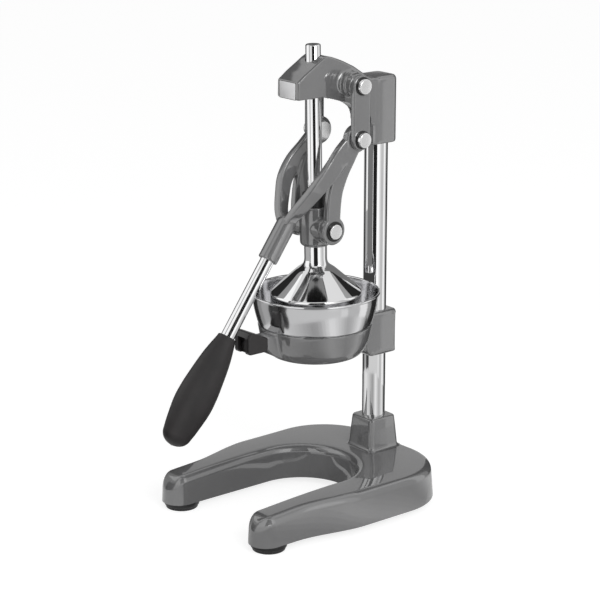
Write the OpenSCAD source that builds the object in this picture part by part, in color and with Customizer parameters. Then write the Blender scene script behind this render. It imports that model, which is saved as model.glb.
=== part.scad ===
// Lever citrus juice press, closed. Front is -Y and the table is z = 0.
// The pieces are drawn with the press rod on the Z axis, then moved along Y
// so that the origin is under the middle of the whole press.

/* [Stand and layout] */
// Distance from the press rod to the post, centre to centre
post_back = 79; // [78:0.5:90]
// Diameter of the post tube
post_d = 24; // [20:0.5:25]
// Wall of the post tube
post_wall = 2; // [1.5:0.25:4]
// Height of the upper pivots, in the head
upper_pivot_z = 431.6; // [427:0.1:436]
// Height of the middle pivots, where links and lever meet
middle_pivot_z = 378.8; // [374:0.1:382]
// Height of the lower pivots, on the collar
lower_pivot_z = 289.5; // [287:0.1:294]
// Distance of the upper and middle pivots behind the rod
pivot_back = 27.6; // [25:0.1:30]

/* [Base] */
// Half width of the base at its widest
base_half_w = 101; // [92:1:120]
// Half width of the gap between the legs
gap_half_w = 54; // [40:1:60]
// Where the round end of the gap has its centre, in front of the rod
gap_centre_front = 18; // [0:1:30]
// How far the back edge lies behind the rod
base_back = 109; // [104:0.5:125]
// How far the centres of the leg tips lie in front of the rod
tip_front = 120; // [105:1:140]
// Radius of the leg tips
tip_r = 17.5; // [17:0.5:22]
// Height of the top face of the base over the table
base_top = 42.3; // [39:0.1:52]
// Height of the leg tips over the table
tip_top = 38; // [35:0.5:39]
// Radius of the back corners
base_corner_r = 66; // [30:1:76]
// Wall of the base casting
base_wall = 5; // [4:0.5:7]
// Height of the foot socket's top for the post
pedestal_top = 76; // [68:1:90]
// Half width of the post socket at its foot
pedestal_foot = 19.5; // [19:0.25:24]
// Half width of the post socket at its top
pedestal_head = 17; // [16:0.25:19]
// Radius of a rubber foot
foot_r = 17.8; // [14:0.1:18]
// Height of a rubber foot
foot_h = 7.5; // [6:0.5:10]

/* [Head] */
// Half width of the head casting
head_half_w = 16; // [15.5:0.1:17]
// How far the nose reaches in front of the rod
nose_front = 35; // [30:1:45]
// Underside of the nose
head_under = 420.8; // [416:0.1:422]
// Top of the nose face
nose_top = 438.6; // [437:0.1:446]
// Crest of the head, over the rod
crest_top = 460.2; // [456:0.1:464]
// Top of the block that holds the post
block_top = 433.5; // [431:0.1:438]
// Bottom of the block that holds the post
block_bottom = 365; // [355:0.5:372]
// Radius of the upright corners of the block
block_corner_r = 8; // [4:0.5:10]
// Front face of the block that holds the post, behind the rod
block_front = 58.8; // [55:0.1:62]
// Radius of the upper pivot bosses on the head
head_boss_r = 11; // [9:0.5:12]

/* [Links and pivots] */
// Outer face of the links, from the middle plane
link_outer = 38.2; // [37:0.1:42]
// Thickness of a link
link_t = 5.6; // [5:0.1:6.5]
// Radius of a link's round ends
link_r = 10.6; // [10:0.1:13]
// Diameter of the pivot pins
pin_d = 10; // [8:0.25:10.5]
// Diameter of the outer pin heads
pin_head_d = 15; // [14:0.25:16]
// Thickness of the outer pin heads
pin_head_t = 4.2; // [2.5:0.1:5]
// Diameter of the inner pin heads at the middle pivots
inner_head_d = 19.5; // [16:0.25:21]

/* [Lever] */
// Angle of the handle from straight down, at rest
handle_angle = 35.9; // [33:0.1:38]
// How far the handle's axis passes in front of the middle pivots
handle_offset = 4.5; // [2:0.25:7]
// Diameter of the handle tube
tube_d = 14; // [12:0.25:15]
// Radius of the handle socket
socket_r = 9.9; // [9:0.1:11]
// From the middle pivots to the open end of the socket
socket_end = 144.5; // [138:0.5:150]
// From the middle pivots to the top of the grip
grip_start = 229; // [215:1:240]
// From the middle pivots to the end of the grip
grip_end = 347; // [330:0.5:360]
// Largest radius of the grip
grip_r = 19.4; // [16:0.1:21]
// Thickness of a fork cheek
cheek_t = 8; // [7:0.25:8.5]

/* [Plunger] */
// Diameter of the press rod
rod_d = 15; // [13:0.25:15.5]
// Top of the press rod
rod_top = 471; // [466:0.5:480]
// Radius of the collar
collar_r = 15.5; // [13:0.25:16]
// Bottom of the collar
collar_bottom = 270.5; // [264:0.5:272]
// Top of the collar
collar_top = 311; // [308:0.5:314]
// Radius of the rubber buffer on the collar
buffer_r = 12.5; // [11:0.25:13]
// Height of the rubber buffer
buffer_h = 13; // [8:0.5:14]
// Radius of the neck of the press bell
neck_r = 11.4; // [10.5:0.1:12.5]
// Radius of the press bell
bell_r = 46; // [42:0.25:48]
// Height of the shoulder where the cone of the bell ends
bell_shoulder = 223.5; // [221:0.5:226]
// Bottom of the skirt of the bell
bell_bottom = 210; // [206:0.5:213]
// Wall of the bell
bell_wall = 3; // [2:0.25:4]

/* [Bowl and bracket] */
// Outer radius of the bowl at its rim
bowl_r = 65.2; // [60:0.1:65.2]
// Height of the bowl's rim
bowl_rim = 224; // [220:0.5:228]
// Height of the cup's rim, where the bowl sits
seam_z = 190.8; // [188:0.2:193]
// Outer radius of the cup at its rim
cup_r = 57.8; // [56:0.1:60]
// Bottom of the cup
cup_bottom = 158.6; // [157:0.1:163]
// Bottom of the clamp round the post
clamp_bottom = 144; // [138:1:150]
// Half width of the clamp
clamp_half_w = 16.8; // [16.4:0.1:19]
// Wall of the bowl
bowl_wall = 1.2; // [0.8:0.1:1.6]
// Half width of the handle rest
rest_half_w = 11.5; // [10:0.25:13]
// Length of the handle rest
rest_len = 24; // [18:0.5:26]

/* [Hidden] */

// Clearances: fixed fits, running fits, loose seats and the gaps beside moving pieces
fit = 0.05;
run = 0.05;
seat = 0.3;
side_gap = 0.4;
// The one overrun that all cuts share, and the least step
over = 1;
eps = 0.01;

cast_grey = [0.50, 0.50, 0.50];
chrome = [0.86, 0.87, 0.88];
steel = [0.78, 0.79, 0.80];
rubber = [0.08, 0.08, 0.08];
grip_black = [0.13, 0.12, 0.12];
bronze = [0.66, 0.50, 0.28];

$fn = 64;
smooth = 96;
hull_fn = 32;

post_r = post_d / 2;
rod_r = rod_d / 2;
pin_r = pin_d / 2;
tube_r = tube_d / 2;
base_bottom = foot_h;

// One point of a smooth curve through a list of points, at t from 0 to 1
function curve_at(pts, t) =
    let (n = len(pts) - 1, s = min(t * n, n - eps / n), i = floor(s), u = s - i,
        a = pts[max(i - 1, 0)], b = pts[i], c = pts[i + 1], d = pts[min(i + 2, n)])
    0.5 * ((2 * b) + (c - a) * u + (2 * a - 5 * b + 4 * c - d) * u * u + (3 * b - a - 3 * c + d) * u * u * u);

// Points of an arc
function arc(centre, r, from, to, steps) =
    [for (i = [0 : steps]) centre + r * [cos(from + (to - from) * i / steps), sin(from + (to - from) * i / steps)]];

function lerp(a, b, t) = a + (b - a) * t;

// Closes a stack of rings, each with the same number of points, into one solid
module skin(rings) {
    m = len(rings[0]);
    n = len(rings);
    sides = [for (i = [0 : n - 2], j = [0 : m - 1], h = [0, 1])
        let (a = i * m + j, b = i * m + (j + 1) % m, c = a + m, d = b + m)
        h == 0 ? [a, b, c] : [b, d, c]];
    ends = concat(
        [for (j = [1 : m - 2]) [0, j + 1, j]],
        [for (j = [1 : m - 2]) [(n - 1) * m, (n - 1) * m + j, (n - 1) * m + j + 1]]);
    polyhedron([for (r = rings, p = r) p], concat(sides, ends), convexity = 6);
}

// Extrudes a profile drawn in (Y, Z) from x0 to x1
module across(x0, x1) {
    translate([x0, 0, 0]) rotate([90, 0, 90]) linear_extrude(x1 - x0, convexity = 4) children();
}

// A cylinder along X at a pivot
module axle(y, z, r, x0, x1) {
    translate([x0, y, z]) rotate([0, 90, 0]) cylinder(r = r, h = x1 - x0);
}

module both_sides() {
    children();
    mirror([1, 0, 0]) children();
}

module rounded_square(half_x, half_y, r) {
    square([2 * half_x - 2 * r, 2 * half_y], center = true);
    square([2 * half_x, 2 * half_y - 2 * r], center = true);
    for (x = [-1, 1], y = [-1, 1]) translate([x * (half_x - r), y * (half_y - r)]) circle(r);
}

// Base: a horseshoe of one swept section, hollow underneath

base_fillet = 9;
base_draft_share = 0.08;
base_leg_steps = 8;
base_bend_steps = 15;
base_tip_steps = 6;
section_steps = 5;
// How much lower the very tip of a leg is than the leg
tip_drop = 19;
// The leg keeps its width over this share of its length, then widens
leg_straight_share = 0.25;
hollow_skip = 5;
foot_inset = 36;
foot_setback = 3.3;
boss_r = 9;
foot_screw_r = 2.5;
foot_screw_head_r = 5;
foot_screw_head_t = 2.5;
foot_screw_len = 16;
foot_hole_spare = 2;
foot_step = 1.5;
foot_step_h = 3.2;
post_boss_wall = 6;
boss_recess = 4;
post_floor_t = 8.5;
bolt_r = 5;
bolt_head_r = 8;
bolt_head_t = 5;
washer_r = 11;
washer_t = 1.6;
plug_h = 26;
bolt_len = 34;
pedestal_corner_r = 6;
pedestal_lip = 1.5;

tip_x = gap_half_w + tip_r;
tip_outer_x = gap_half_w + 2 * tip_r;
gap_centre_y = -gap_centre_front;
boss_foot = base_bottom + boss_recess;
post_floor = boss_foot + post_floor_t;
post_boss_r = post_r + post_boss_wall;
foot_places = [[-tip_x, foot_setback - tip_front], [tip_x, foot_setback - tip_front],
    [foot_inset - base_half_w, base_back - foot_inset], [base_half_w - foot_inset, base_back - foot_inset]];

function ease(t) = t * t * (3 - 2 * t);

// Where a ray from the centre of the gap meets the rounded back of the base
function back_edge(a) =
    let (cx = base_half_w - base_corner_r, cy = base_back - base_corner_r - gap_centre_y,
        b = cx * cos(a) + cy * sin(a), side = base_half_w / max(cos(a), eps),
        back = (base_back - gap_centre_y) / max(sin(a), eps),
        round_end = b + sqrt(max(b * b - (cx * cx + cy * cy - base_corner_r * base_corner_r), 0)),
        t = side * sin(a) < cy ? side : back * cos(a) < cx ? back : round_end)
    [t * cos(a), gap_centre_y + t * sin(a)];

// Stations of the right half: inner point, outer point and top height
function leg_station(t) =
    let (y = lerp(-tip_front, gap_centre_y, t), u = max(t - leg_straight_share, 0) / (1 - leg_straight_share))
    [[gap_half_w, y], [lerp(tip_outer_x, base_half_w, ease(u)), y], lerp(tip_top, base_top, sin(90 * t))];

function tip_station(a) =
    let (half = tip_r * sin(a), y = -tip_front - tip_r * cos(a))
    [[tip_x - half, y], [tip_x + half, y], tip_top - tip_drop * (1 - sin(a))];

function bend_station(a) =
    [[gap_half_w * cos(a), gap_centre_y + gap_half_w * sin(a)], back_edge(a), base_top];

right_stations = concat(
    [for (i = [0.6 : base_tip_steps - 0.4]) tip_station(90 * i / base_tip_steps)],
    [for (i = [0 : base_leg_steps - 1]) leg_station(i / base_leg_steps)],
    [for (i = [0 : base_bend_steps - 1]) bend_station(90 * i / base_bend_steps)]);
left_stations = [for (i = [len(right_stations) - 1 : -1 : 0])
    let (s = right_stations[i]) [[-s[0][0], s[0][1]], [-s[1][0], s[1][1]], s[2]]];
base_stations = concat(right_stations, [bend_station(90)], left_stations);

// One ring of the swept section
function base_ring(s) =
    let (d = s[1] - s[0], width = norm(d), e = d / width, top = s[2],
        r = min(base_fillet, width / 2 - base_draft_share * (top - base_bottom) - eps),
        lean = base_draft_share * (top - r - base_bottom),
        shape = concat([[width, base_bottom]],
            arc([width - lean - r, top - r], r, 0, 90, section_steps),
            arc([lean + r, top - r], r, 90, 180, section_steps),
            [[0, base_bottom]]))
    [for (q = shape) [s[0][0] + e[0] * q[0], s[0][1] + e[1] * q[0], q[1]]];

// The hollow underneath has upright walls and one flat roof
hollow_roof = tip_top - base_wall;
hollow_wall = base_wall + base_draft_share * (hollow_roof - base_bottom);

module base_hollow() {
    n = len(base_stations);
    translate([0, 0, base_bottom - over]) linear_extrude(hollow_roof - base_bottom + over) polygon(concat(
        [for (i = [hollow_skip : n - 1 - hollow_skip]) let (s = base_stations[i], d = s[1] - s[0])
            s[0] + d * hollow_wall / norm(d)],
        [for (i = [n - 1 - hollow_skip : -1 : hollow_skip]) let (s = base_stations[i], d = s[1] - s[0])
            s[1] - d * hollow_wall / norm(d)]));
}

module base_casting() {
    color(cast_grey) difference() {
        union() {
            difference() {
                skin([for (s = base_stations) base_ring(s)]);
                base_hollow();
            }
            hull() {
                translate([0, post_back, base_top - base_wall]) linear_extrude(base_wall)
                    rounded_square(pedestal_foot, pedestal_foot, pedestal_corner_r, $fn = hull_fn);
                translate([0, post_back, base_top]) linear_extrude(pedestal_top - pedestal_lip - base_top)
                    rounded_square(pedestal_head, pedestal_head, pedestal_corner_r, $fn = hull_fn);
                translate([0, post_back, base_top]) linear_extrude(pedestal_top - base_top)
                    rounded_square(pedestal_head - pedestal_lip, pedestal_head - pedestal_lip,
                        pedestal_corner_r - pedestal_lip, $fn = hull_fn);
            }
            translate([0, post_back, boss_foot]) cylinder(r = post_boss_r, h = hollow_roof + base_wall / 2 - boss_foot);
            for (p = foot_places) translate([p[0], p[1], base_bottom])
                cylinder(r = boss_r, h = hollow_roof + base_wall / 2 - base_bottom);
        }
        translate([0, post_back, post_floor]) cylinder(r = post_r + fit, h = pedestal_top);
        translate([0, post_back, 0]) cylinder(r = bolt_r + fit, h = pedestal_top);
        for (p = foot_places) translate([p[0], p[1], base_bottom - over])
            cylinder(r = foot_screw_r + fit, h = foot_screw_len + over);
    }
}

// A rubber foot with a step and a recess for its screw
module foot(i) {
    recess_r = foot_screw_head_r + seat;
    shoulder = foot_h / 2;
    color(rubber) translate([foot_places[i][0], foot_places[i][1], 0]) rotate_extrude($fn = smooth) polygon([
        [recess_r, 0], [foot_r - foot_step, 0], [foot_r - foot_step, foot_step_h], [foot_r, foot_step_h],
        [foot_r, foot_h], [foot_screw_r + fit, foot_h], [foot_screw_r + fit, shoulder], [recess_r, shoulder]]);
}

module foot_screws() {
    shoulder = foot_h / 2;
    color(steel) for (p = foot_places) translate([p[0], p[1], shoulder - foot_screw_head_t]) {
        cylinder(r = foot_screw_head_r, h = foot_screw_head_t);
        translate([0, 0, foot_screw_head_t])
            cylinder(r = foot_screw_r, h = foot_h - shoulder + foot_screw_len - foot_hole_spare);
    }
}

// Post, its threaded plug and the bolt that draws it into the base

post_cover = 6;
post_top = block_top - post_cover;

module post_tube() {
    color(chrome) translate([0, post_back, post_floor]) difference() {
        cylinder(r = post_r, h = post_top - post_floor, $fn = smooth);
        translate([0, 0, -over]) cylinder(r = post_r - post_wall, h = post_top - post_floor + 2 * over);
    }
}

module post_plug() {
    color(steel) translate([0, post_back, post_floor]) difference() {
        cylinder(r = post_r - post_wall - fit, h = plug_h);
        translate([0, 0, -over]) cylinder(r = bolt_r + fit, h = plug_h + 2 * over);
    }
}

module base_bolt() {
    color(steel) translate([0, post_back, boss_foot - washer_t - bolt_head_t]) {
        cylinder(r = bolt_head_r, h = bolt_head_t, $fn = 6);
        translate([0, 0, bolt_head_t]) cylinder(r = bolt_r, h = washer_t + bolt_len);
    }
}

module base_washer() {
    color(steel) translate([0, post_back, boss_foot - washer_t]) difference() {
        cylinder(r = washer_r, h = washer_t);
        translate([0, 0, -over]) cylinder(r = bolt_r + fit, h = washer_t + 2 * over);
    }
}

// Head: one side profile, the bored block for the post and the pivot bosses

block_back = post_back + head_half_w;
// Rounding of the head's upper edges, of the block's top and of the underside
head_edge = 3.5;
block_edge = 5;
under_edge = 1.2;
under_corner = 1.75;
edge_steps = 3;
boss_flare = 4.5;
flare_steps = 6;
boss_end = link_outer - link_t - side_gap;
// Play between rod and guides, which stand a little forward as the rod leans and sways
rod_play = 1.1;
guide_y = -2.3;
bush_wall = 2.2;
bush_r = rod_r + rod_play + bush_wall;
bush_len = 12;
bush_cover = 8;
bush_top = crest_top - bush_cover;
set_screw_r = 3;
screw_recess = 1;
head_screw_inset = 18;
head_screw_heights = [block_bottom + head_screw_inset, block_top - head_screw_inset];
head_screw_len = block_back - post_back - post_r - fit - screw_recess;
plate_half_w = 12;
plate_margin_low = 0.7;
plate_margin_top = 1.1;
plate_t = 1;
plate_sink = 0.6;
plate_low = head_under + plate_margin_low;
plate_h = nose_top - head_under - plate_margin_low - plate_margin_top;

// Outline of the head from the nose to the crest, from the crest to the block, and under the nose
head_front_shares = [[0.103, 0.112], [0.28, 0.322], [0.457, 0.5], [0.634, 0.673], [0.74, 0.79], [0.849, 0.9],
    [0.954, 0.985]];
head_back_shares = [[0, 1], [0.077, 0.985], [0.183, 0.925], [0.288, 0.835], [0.395, 0.738], [0.502, 0.622],
    [0.608, 0.506], [0.717, 0.348], [0.825, 0.195], [0.9, 0.095], [0.957, 0.03], [1.02, 0]];
head_under_shares = [[1, 0], [0.991, 0.256], [0.966, 0.408], [0.92, 0.522], [0.851, 0.628], [0.78, 0.689],
    [0.712, 0.739], [0.629, 0.797], [0.561, 0.847], [0.494, 0.906], [0.425, 0.953], [0.288, 1], [0.05, 1]];
crest_run = 60;
throat_drop = 36;

function head_profile() =
    let (back_r = block_edge + under_corner)
    concat(
        [[-nose_front, head_under + under_corner], [-nose_front, nose_top]],
        [for (p = head_front_shares) [-nose_front * (1 - p[0]), lerp(nose_top, crest_top, p[1])]],
        [for (p = head_back_shares) [crest_run * p[0], lerp(block_top, crest_top, p[1])]],
        arc([block_back - back_r, block_top - back_r], back_r, 90, 0, section_steps),
        arc([block_back - under_corner, block_bottom + under_corner], under_corner, 0, -90, edge_steps),
        arc([block_front + under_corner, block_bottom + under_corner], under_corner, -90, -180, edge_steps),
        [for (p = head_under_shares) [lerp(-nose_front, block_front, p[0]),
            lerp(head_under - throat_drop, head_under, p[1])]]);

// How much the edge is rounded at a point of the side profile
function head_rounding(p) =
    p[1] < upper_pivot_z && p[0] < block_front || p[1] < (block_top + block_bottom) / 2 ? under_edge
    : p[0] > block_front ? block_edge : head_edge;

// The side profile at one place across the head, drawn inward near the sides
function head_ring(x, g) =
    let (pts = head_profile(), m = len(pts))
    [for (i = [0 : m - 1])
        let (a = pts[(i + m - 1) % m], b = pts[(i + 1) % m], d = (b - a) / norm(b - a),
            q = pts[i] + [d[1], -d[0]] * head_rounding(pts[i]) * (1 - cos(g)))
        [x, q[0], q[1]]];

module head_body() {
    half = [for (k = [0 : edge_steps]) let (g = 90 - 90 * k / edge_steps) [head_half_w - head_edge * (1 - sin(g)), g]];
    rings = concat([for (h = half) head_ring(h[0], h[1])],
        [for (k = [edge_steps : -1 : 0]) head_ring(-half[k][0], half[k][1])]);
    m = len(rings[0]);
    n = len(rings);
    polyhedron([for (r = rings, p = r) p], concat(
        [for (i = [0 : n - 2], j = [0 : m - 1], h = [0, 1])
            let (a = i * m + j, b = i * m + (j + 1) % m, c = a + m, d = b + m)
            h == 0 ? [a, c, b] : [b, c, d]],
        [[for (j = [0 : m - 1]) j], [for (j = [m - 1 : -1 : 0]) (n - 1) * m + j]]), convexity = 8);
}

module block_corners() {
    translate([0, post_back, 0]) linear_extrude(rod_top) difference() {
        translate([0, head_half_w / 2 + over]) square([2 * head_half_w + over, head_half_w + 2 * over], center = true);
        rounded_square(head_half_w, head_half_w, block_corner_r);
    }
}

module head_casting() {
    color(cast_grey) difference() {
        union() {
            difference() {
                head_body();
                block_corners();
            }
            axle(pivot_back, upper_pivot_z, head_boss_r, -boss_end, boss_end);
            both_sides() translate([head_half_w - eps, pivot_back, upper_pivot_z]) rotate([0, 90, 0])
                rotate_extrude($fn = smooth) polygon(concat([[0, 0], [head_boss_r + boss_flare, 0]],
                    arc([head_boss_r + boss_flare, boss_flare], boss_flare, -90, -180, flare_steps), [[0, boss_flare]]));
        }
        translate([0, guide_y, head_under - over]) cylinder(r = bush_r + fit, h = bush_top - head_under + over);
        translate([0, guide_y, head_under - bush_r]) cylinder(r = rod_r + rod_play, h = rod_top);
        translate([0, post_back, 0]) cylinder(r = post_r + fit, h = post_top + fit);
        axle(pivot_back, upper_pivot_z, pin_r + fit, -link_outer, link_outer);
        for (z = head_screw_heights) translate([0, post_back, z]) rotate([-90, 0, 0])
            cylinder(r = set_screw_r + fit, h = block_back);
        translate([-plate_half_w - fit, -nose_front - over, plate_low - fit])
            cube([2 * (plate_half_w + fit), over + plate_sink, plate_h + 2 * fit]);
    }
}

module set_screws(heights, length) {
    color(steel) for (z = heights) translate([0, post_back + post_r + fit, z]) rotate([-90, 0, 0])
        cylinder(r = set_screw_r, h = length);
}

// The bare metal label plate on the nose
module nose_plate() {
    color(steel) translate([-plate_half_w, plate_sink - nose_front - plate_t, plate_low])
        cube([2 * plate_half_w, plate_t, plate_h]);
}

module guide_bush(z) {
    color(bronze) translate([0, guide_y, z]) difference() {
        cylinder(r = bush_r, h = bush_len);
        translate([0, 0, -over]) cylinder(r = rod_r + rod_play, h = bush_len + 2 * over);
    }
}

// Bracket: the clamp round the post and the cup for the bowl, in one casting

cup_wall = 4;
cup_floor = 4;
clamp_corner_r = 7;
clamp_reach = 24;
clamp_toe = 12;
clamp_back = post_back + clamp_half_w;
clamp_front = post_back - clamp_reach;
clamp_screw_inset = 12;
clamp_screw_heights = [clamp_bottom + clamp_screw_inset, seam_z - clamp_screw_inset];
clamp_screw_len = clamp_half_w - post_r - fit - screw_recess;
outlet_r = 13;
lug_half_w = 10;
lug_reach = 11;
lug_low = 177;
lug_high = 189;
lug_front = cup_r + lug_reach;
lug_web_share = 0.6;
lug_web_from = 2;

// Outline of the cup, from its floor to its rim
cup_shares = [[0.727, 0], [0.78, 0.035], [0.8045, 0.062], [0.85, 0.14], [0.882, 0.228], [0.915, 0.34], [0.943, 0.475],
    [0.963, 0.61], [0.9775, 0.753], [0.99, 0.88], [1, 1]];
cup_outline = [for (p = cup_shares) [cup_r * p[0], lerp(cup_bottom, seam_z, p[1])]];
lug_web_z = cup_outline[lug_web_from][1];

module cup_shape() {
    rotate_extrude($fn = smooth) difference() {
        polygon(concat([[0, cup_bottom]], cup_outline, [[0, seam_z]]));
        polygon(concat([[0, cup_bottom + cup_floor]],
            [for (p = cup_outline) [p[0] - cup_wall, max(p[1], cup_bottom + cup_floor)]],
            [[cup_r - cup_wall, seam_z + over], [0, seam_z + over]]));
    }
}

module bowl_bracket() {
    color(cast_grey) difference() {
        union() {
            cup_shape();
            difference() {
                intersection() {
                    translate([0, (clamp_front + clamp_back - clamp_reach) / 2, clamp_bottom])
                        linear_extrude(seam_z - clamp_bottom)
                        rounded_square(clamp_half_w, (clamp_back - clamp_front + clamp_reach) / 2, clamp_corner_r);
                    across(-cup_r, cup_r) polygon(concat([[0, seam_z], [clamp_back, seam_z], [clamp_back, clamp_bottom]],
                        arc([clamp_front + clamp_toe, clamp_bottom + clamp_toe], clamp_toe, -90, -180, section_steps),
                        [[clamp_front - clamp_toe / 2, cup_bottom + cup_floor], [0, cup_bottom + cup_floor]]));
                }
                translate([0, 0, clamp_bottom - over]) cylinder(r = cup_r - cup_wall, h = seam_z, $fn = smooth);
            }
            difference() {
                across(-lug_half_w, lug_half_w) polygon([[-lug_front, lug_low], [-lug_front, lug_high],
                    [-cup_r * lug_web_share, lug_high], [-cup_r * lug_web_share, lug_web_z],
                    [over - cup_outline[lug_web_from][0], lug_web_z]]);
                translate([0, 0, cup_bottom + cup_floor]) cylinder(r = cup_r - cup_wall, h = seam_z, $fn = smooth);
            }
        }
        translate([0, 0, clamp_bottom]) cylinder(r = outlet_r, h = seam_z);
        translate([0, post_back, clamp_bottom - over]) cylinder(r = post_r + fit, h = seam_z);
        for (z = clamp_screw_heights) translate([0, post_back, z]) rotate([-90, 0, 0])
            cylinder(r = set_screw_r + fit, h = clamp_back);
        translate([0, over - lug_front + rest_screw_len, rest_screw_z]) rotate([90, 0, 0])
            cylinder(r = rest_screw_r + fit, h = rest_screw_len + 2 * over);
    }
}

// Handle rest: a moulded block screwed to the lug, behind the grip
rest_drop = 1.5;
rest_low = lug_low - rest_drop;
rest_rear = lug_front;
rest_front = rest_rear + rest_len;
rest_rear_h = 14;
rest_peak_h = 22;
rest_nose_h = 17;
rest_peak_share = 0.72;
rest_round = 3;
rest_groove_half = 5.5;
rest_groove = 5;
rest_screw_r = 2;
rest_screw_head_r = 4;
rest_screw_head_t = 2;
rest_screw_len = 16;
rest_screw_z = (lug_low + lug_high) / 2;

module handle_rest() {
    color(grip_black) difference() {
        across(-rest_half_w, rest_half_w) polygon(concat(
            [[-rest_rear, rest_low], [-rest_rear, rest_low + rest_rear_h],
            [-lerp(rest_rear, rest_front, rest_peak_share), rest_low + rest_peak_h],
            [-lerp(rest_rear, rest_front, rest_peak_share) - rest_round, rest_low + rest_peak_h],
            [-rest_front, rest_low + rest_nose_h]],
            arc([rest_round - rest_front, rest_low + rest_round], rest_round, 180, 270, 3)));
        translate([-rest_groove_half, -rest_front - over, rest_low - over])
            cube([2 * rest_groove_half, rest_groove + over, rest_nose_h]);
        translate([0, over - rest_rear, rest_screw_z]) rotate([90, 0, 0])
            cylinder(r = rest_screw_r + fit, h = rest_len + 2 * over);
    }
}

module handle_rest_screw() {
    color(steel) translate([0, rest_groove - rest_front, rest_screw_z]) {
        rotate([90, 0, 0]) cylinder(r = rest_screw_head_r, h = rest_screw_head_t);
        rotate([-90, 0, 0]) cylinder(r = rest_screw_r, h = rest_len - rest_groove + rest_screw_len - over);
    }
}

// Steel bowl: rolled rim, wall, step on the cup and a funnel down to the spout

bowl_seam_r = cup_r - seat;
funnel_r = cup_r - cup_wall - over;
step_drop = 4;
funnel_lift = 4;
funnel_z = cup_bottom + cup_floor + funnel_lift;
spout_gap = 2;
spout_r = outlet_r - spout_gap;
spout_drop = 7;
spout_z = cup_bottom - spout_drop;
rim_bead = 1.3;
bowl_belly_share = 0.68;

module steel_bowl() {
    belly_r = lerp(bowl_seam_r, bowl_r - rim_bead, bowl_belly_share);
    belly_z = lerp(seam_z, bowl_rim, 0.5);
    color(steel) rotate_extrude($fn = smooth) polygon([
        [spout_r, spout_z], [spout_r, funnel_z], [funnel_r, seam_z - step_drop], [funnel_r, seam_z], [bowl_seam_r, seam_z],
        [belly_r, belly_z], [bowl_r - rim_bead, bowl_rim - 2 * rim_bead], [bowl_r, bowl_rim - 1.5 * rim_bead],
        [bowl_r, bowl_rim - rim_bead / 2], [bowl_r - rim_bead / 2, bowl_rim], [bowl_r - rim_bead - bowl_wall, bowl_rim],
        [belly_r - bowl_wall, belly_z], [bowl_seam_r - bowl_wall, seam_z + bowl_wall],
        [funnel_r - bowl_wall, seam_z + bowl_wall], [funnel_r - bowl_wall, seam_z - step_drop + bowl_wall],
        [spout_r - bowl_wall, funnel_z + bowl_wall], [spout_r - bowl_wall, spout_z]]);
}

// Strainer with the cone that holds the half fruit

strainer_r = bowl_seam_r - bowl_wall - seat - over;
strainer_h = 4;
strainer_t = 1.5;
strainer_z = seam_z + bowl_wall;
strainer_deck = strainer_z + strainer_h;
cone_gap = 4.5;
cone_r = bell_r - bell_wall - cone_gap;
cone_tip_r = 7;
cone_rise = 9;
cone_tip_z = bell_shoulder + cone_rise;
cone_cap_h = 3;
slot_count = 36;
slot_w = 1.8;
slot_margin = 3;

module strainer_cone() {
    t = strainer_t;
    color(steel) difference() {
        rotate_extrude($fn = smooth) polygon([
            [strainer_r - t, strainer_z], [strainer_r, strainer_z], [strainer_r, strainer_deck + t],
            [cone_r, strainer_deck + t], [cone_r, bell_bottom], [cone_tip_r, cone_tip_z], [0, cone_tip_z + cone_cap_h],
            [0, cone_tip_z + cone_cap_h - t], [cone_tip_r - t, cone_tip_z - t], [cone_r - t, bell_bottom - t / 2],
            [cone_r - t, strainer_deck], [strainer_r - t, strainer_deck]]);
        for (i = [0 : slot_count - 1]) rotate([0, 0, 360 * i / slot_count])
            translate([cone_r + slot_margin, -slot_w / 2, strainer_deck - over])
            cube([strainer_r - cone_r - 2 * slot_margin, slot_w, t + 2 * over]);
    }
}

// Links, their bushes and the upper pivot pin

link_inner = link_outer - link_t;
bush_t = 2;
link_bush_r = pin_r + bush_t;
flange_r = 10;
flange_t = 1;
head_gap = 0.3;
pin_chamfer = 1;
head_face = link_outer + flange_t + head_gap;

module link() {
    color(cast_grey) difference() {
        union() {
            for (z = [upper_pivot_z, middle_pivot_z]) axle(pivot_back, z, link_r, link_inner, link_outer);
            translate([link_inner, pivot_back - link_r, middle_pivot_z])
                cube([link_t, 2 * link_r, upper_pivot_z - middle_pivot_z]);
        }
        for (z = [upper_pivot_z, middle_pivot_z])
            axle(pivot_back, z, link_bush_r + fit, link_inner - over, link_outer + over);
    }
}

// A flanged bush at a pivot, its flange under the pin head
module flanged_bush(y, z, x0, x1) {
    color(rubber) difference() {
        union() {
            axle(y, z, link_bush_r, x0, x1);
            axle(y, z, flange_r, x1, x1 + flange_t);
        }
        axle(y, z, pin_r + run, x0 - over, x1 + flange_t + over);
    }
}

module pin_head(z, y, x, t = pin_head_t) {
    straight = t - pin_chamfer;
    translate([x, y, z]) rotate([0, 90, 0]) {
        cylinder(d = pin_head_d, h = straight);
        translate([0, 0, straight]) cylinder(d1 = pin_head_d, d2 = pin_head_d - 2 * pin_chamfer, h = pin_chamfer);
    }
}

module upper_pivot_pin() {
    color(chrome) {
        axle(pivot_back, upper_pivot_z, pin_r, -head_face, head_face);
        mirror([1, 0, 0]) pin_head(upper_pivot_z, pivot_back, head_face);
    }
}

module upper_pin_cap() {
    color(chrome) pin_head(upper_pivot_z, pivot_back, head_face);
}

// Lever: fork casting with two cheeks, the handle tube and the grip

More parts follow.
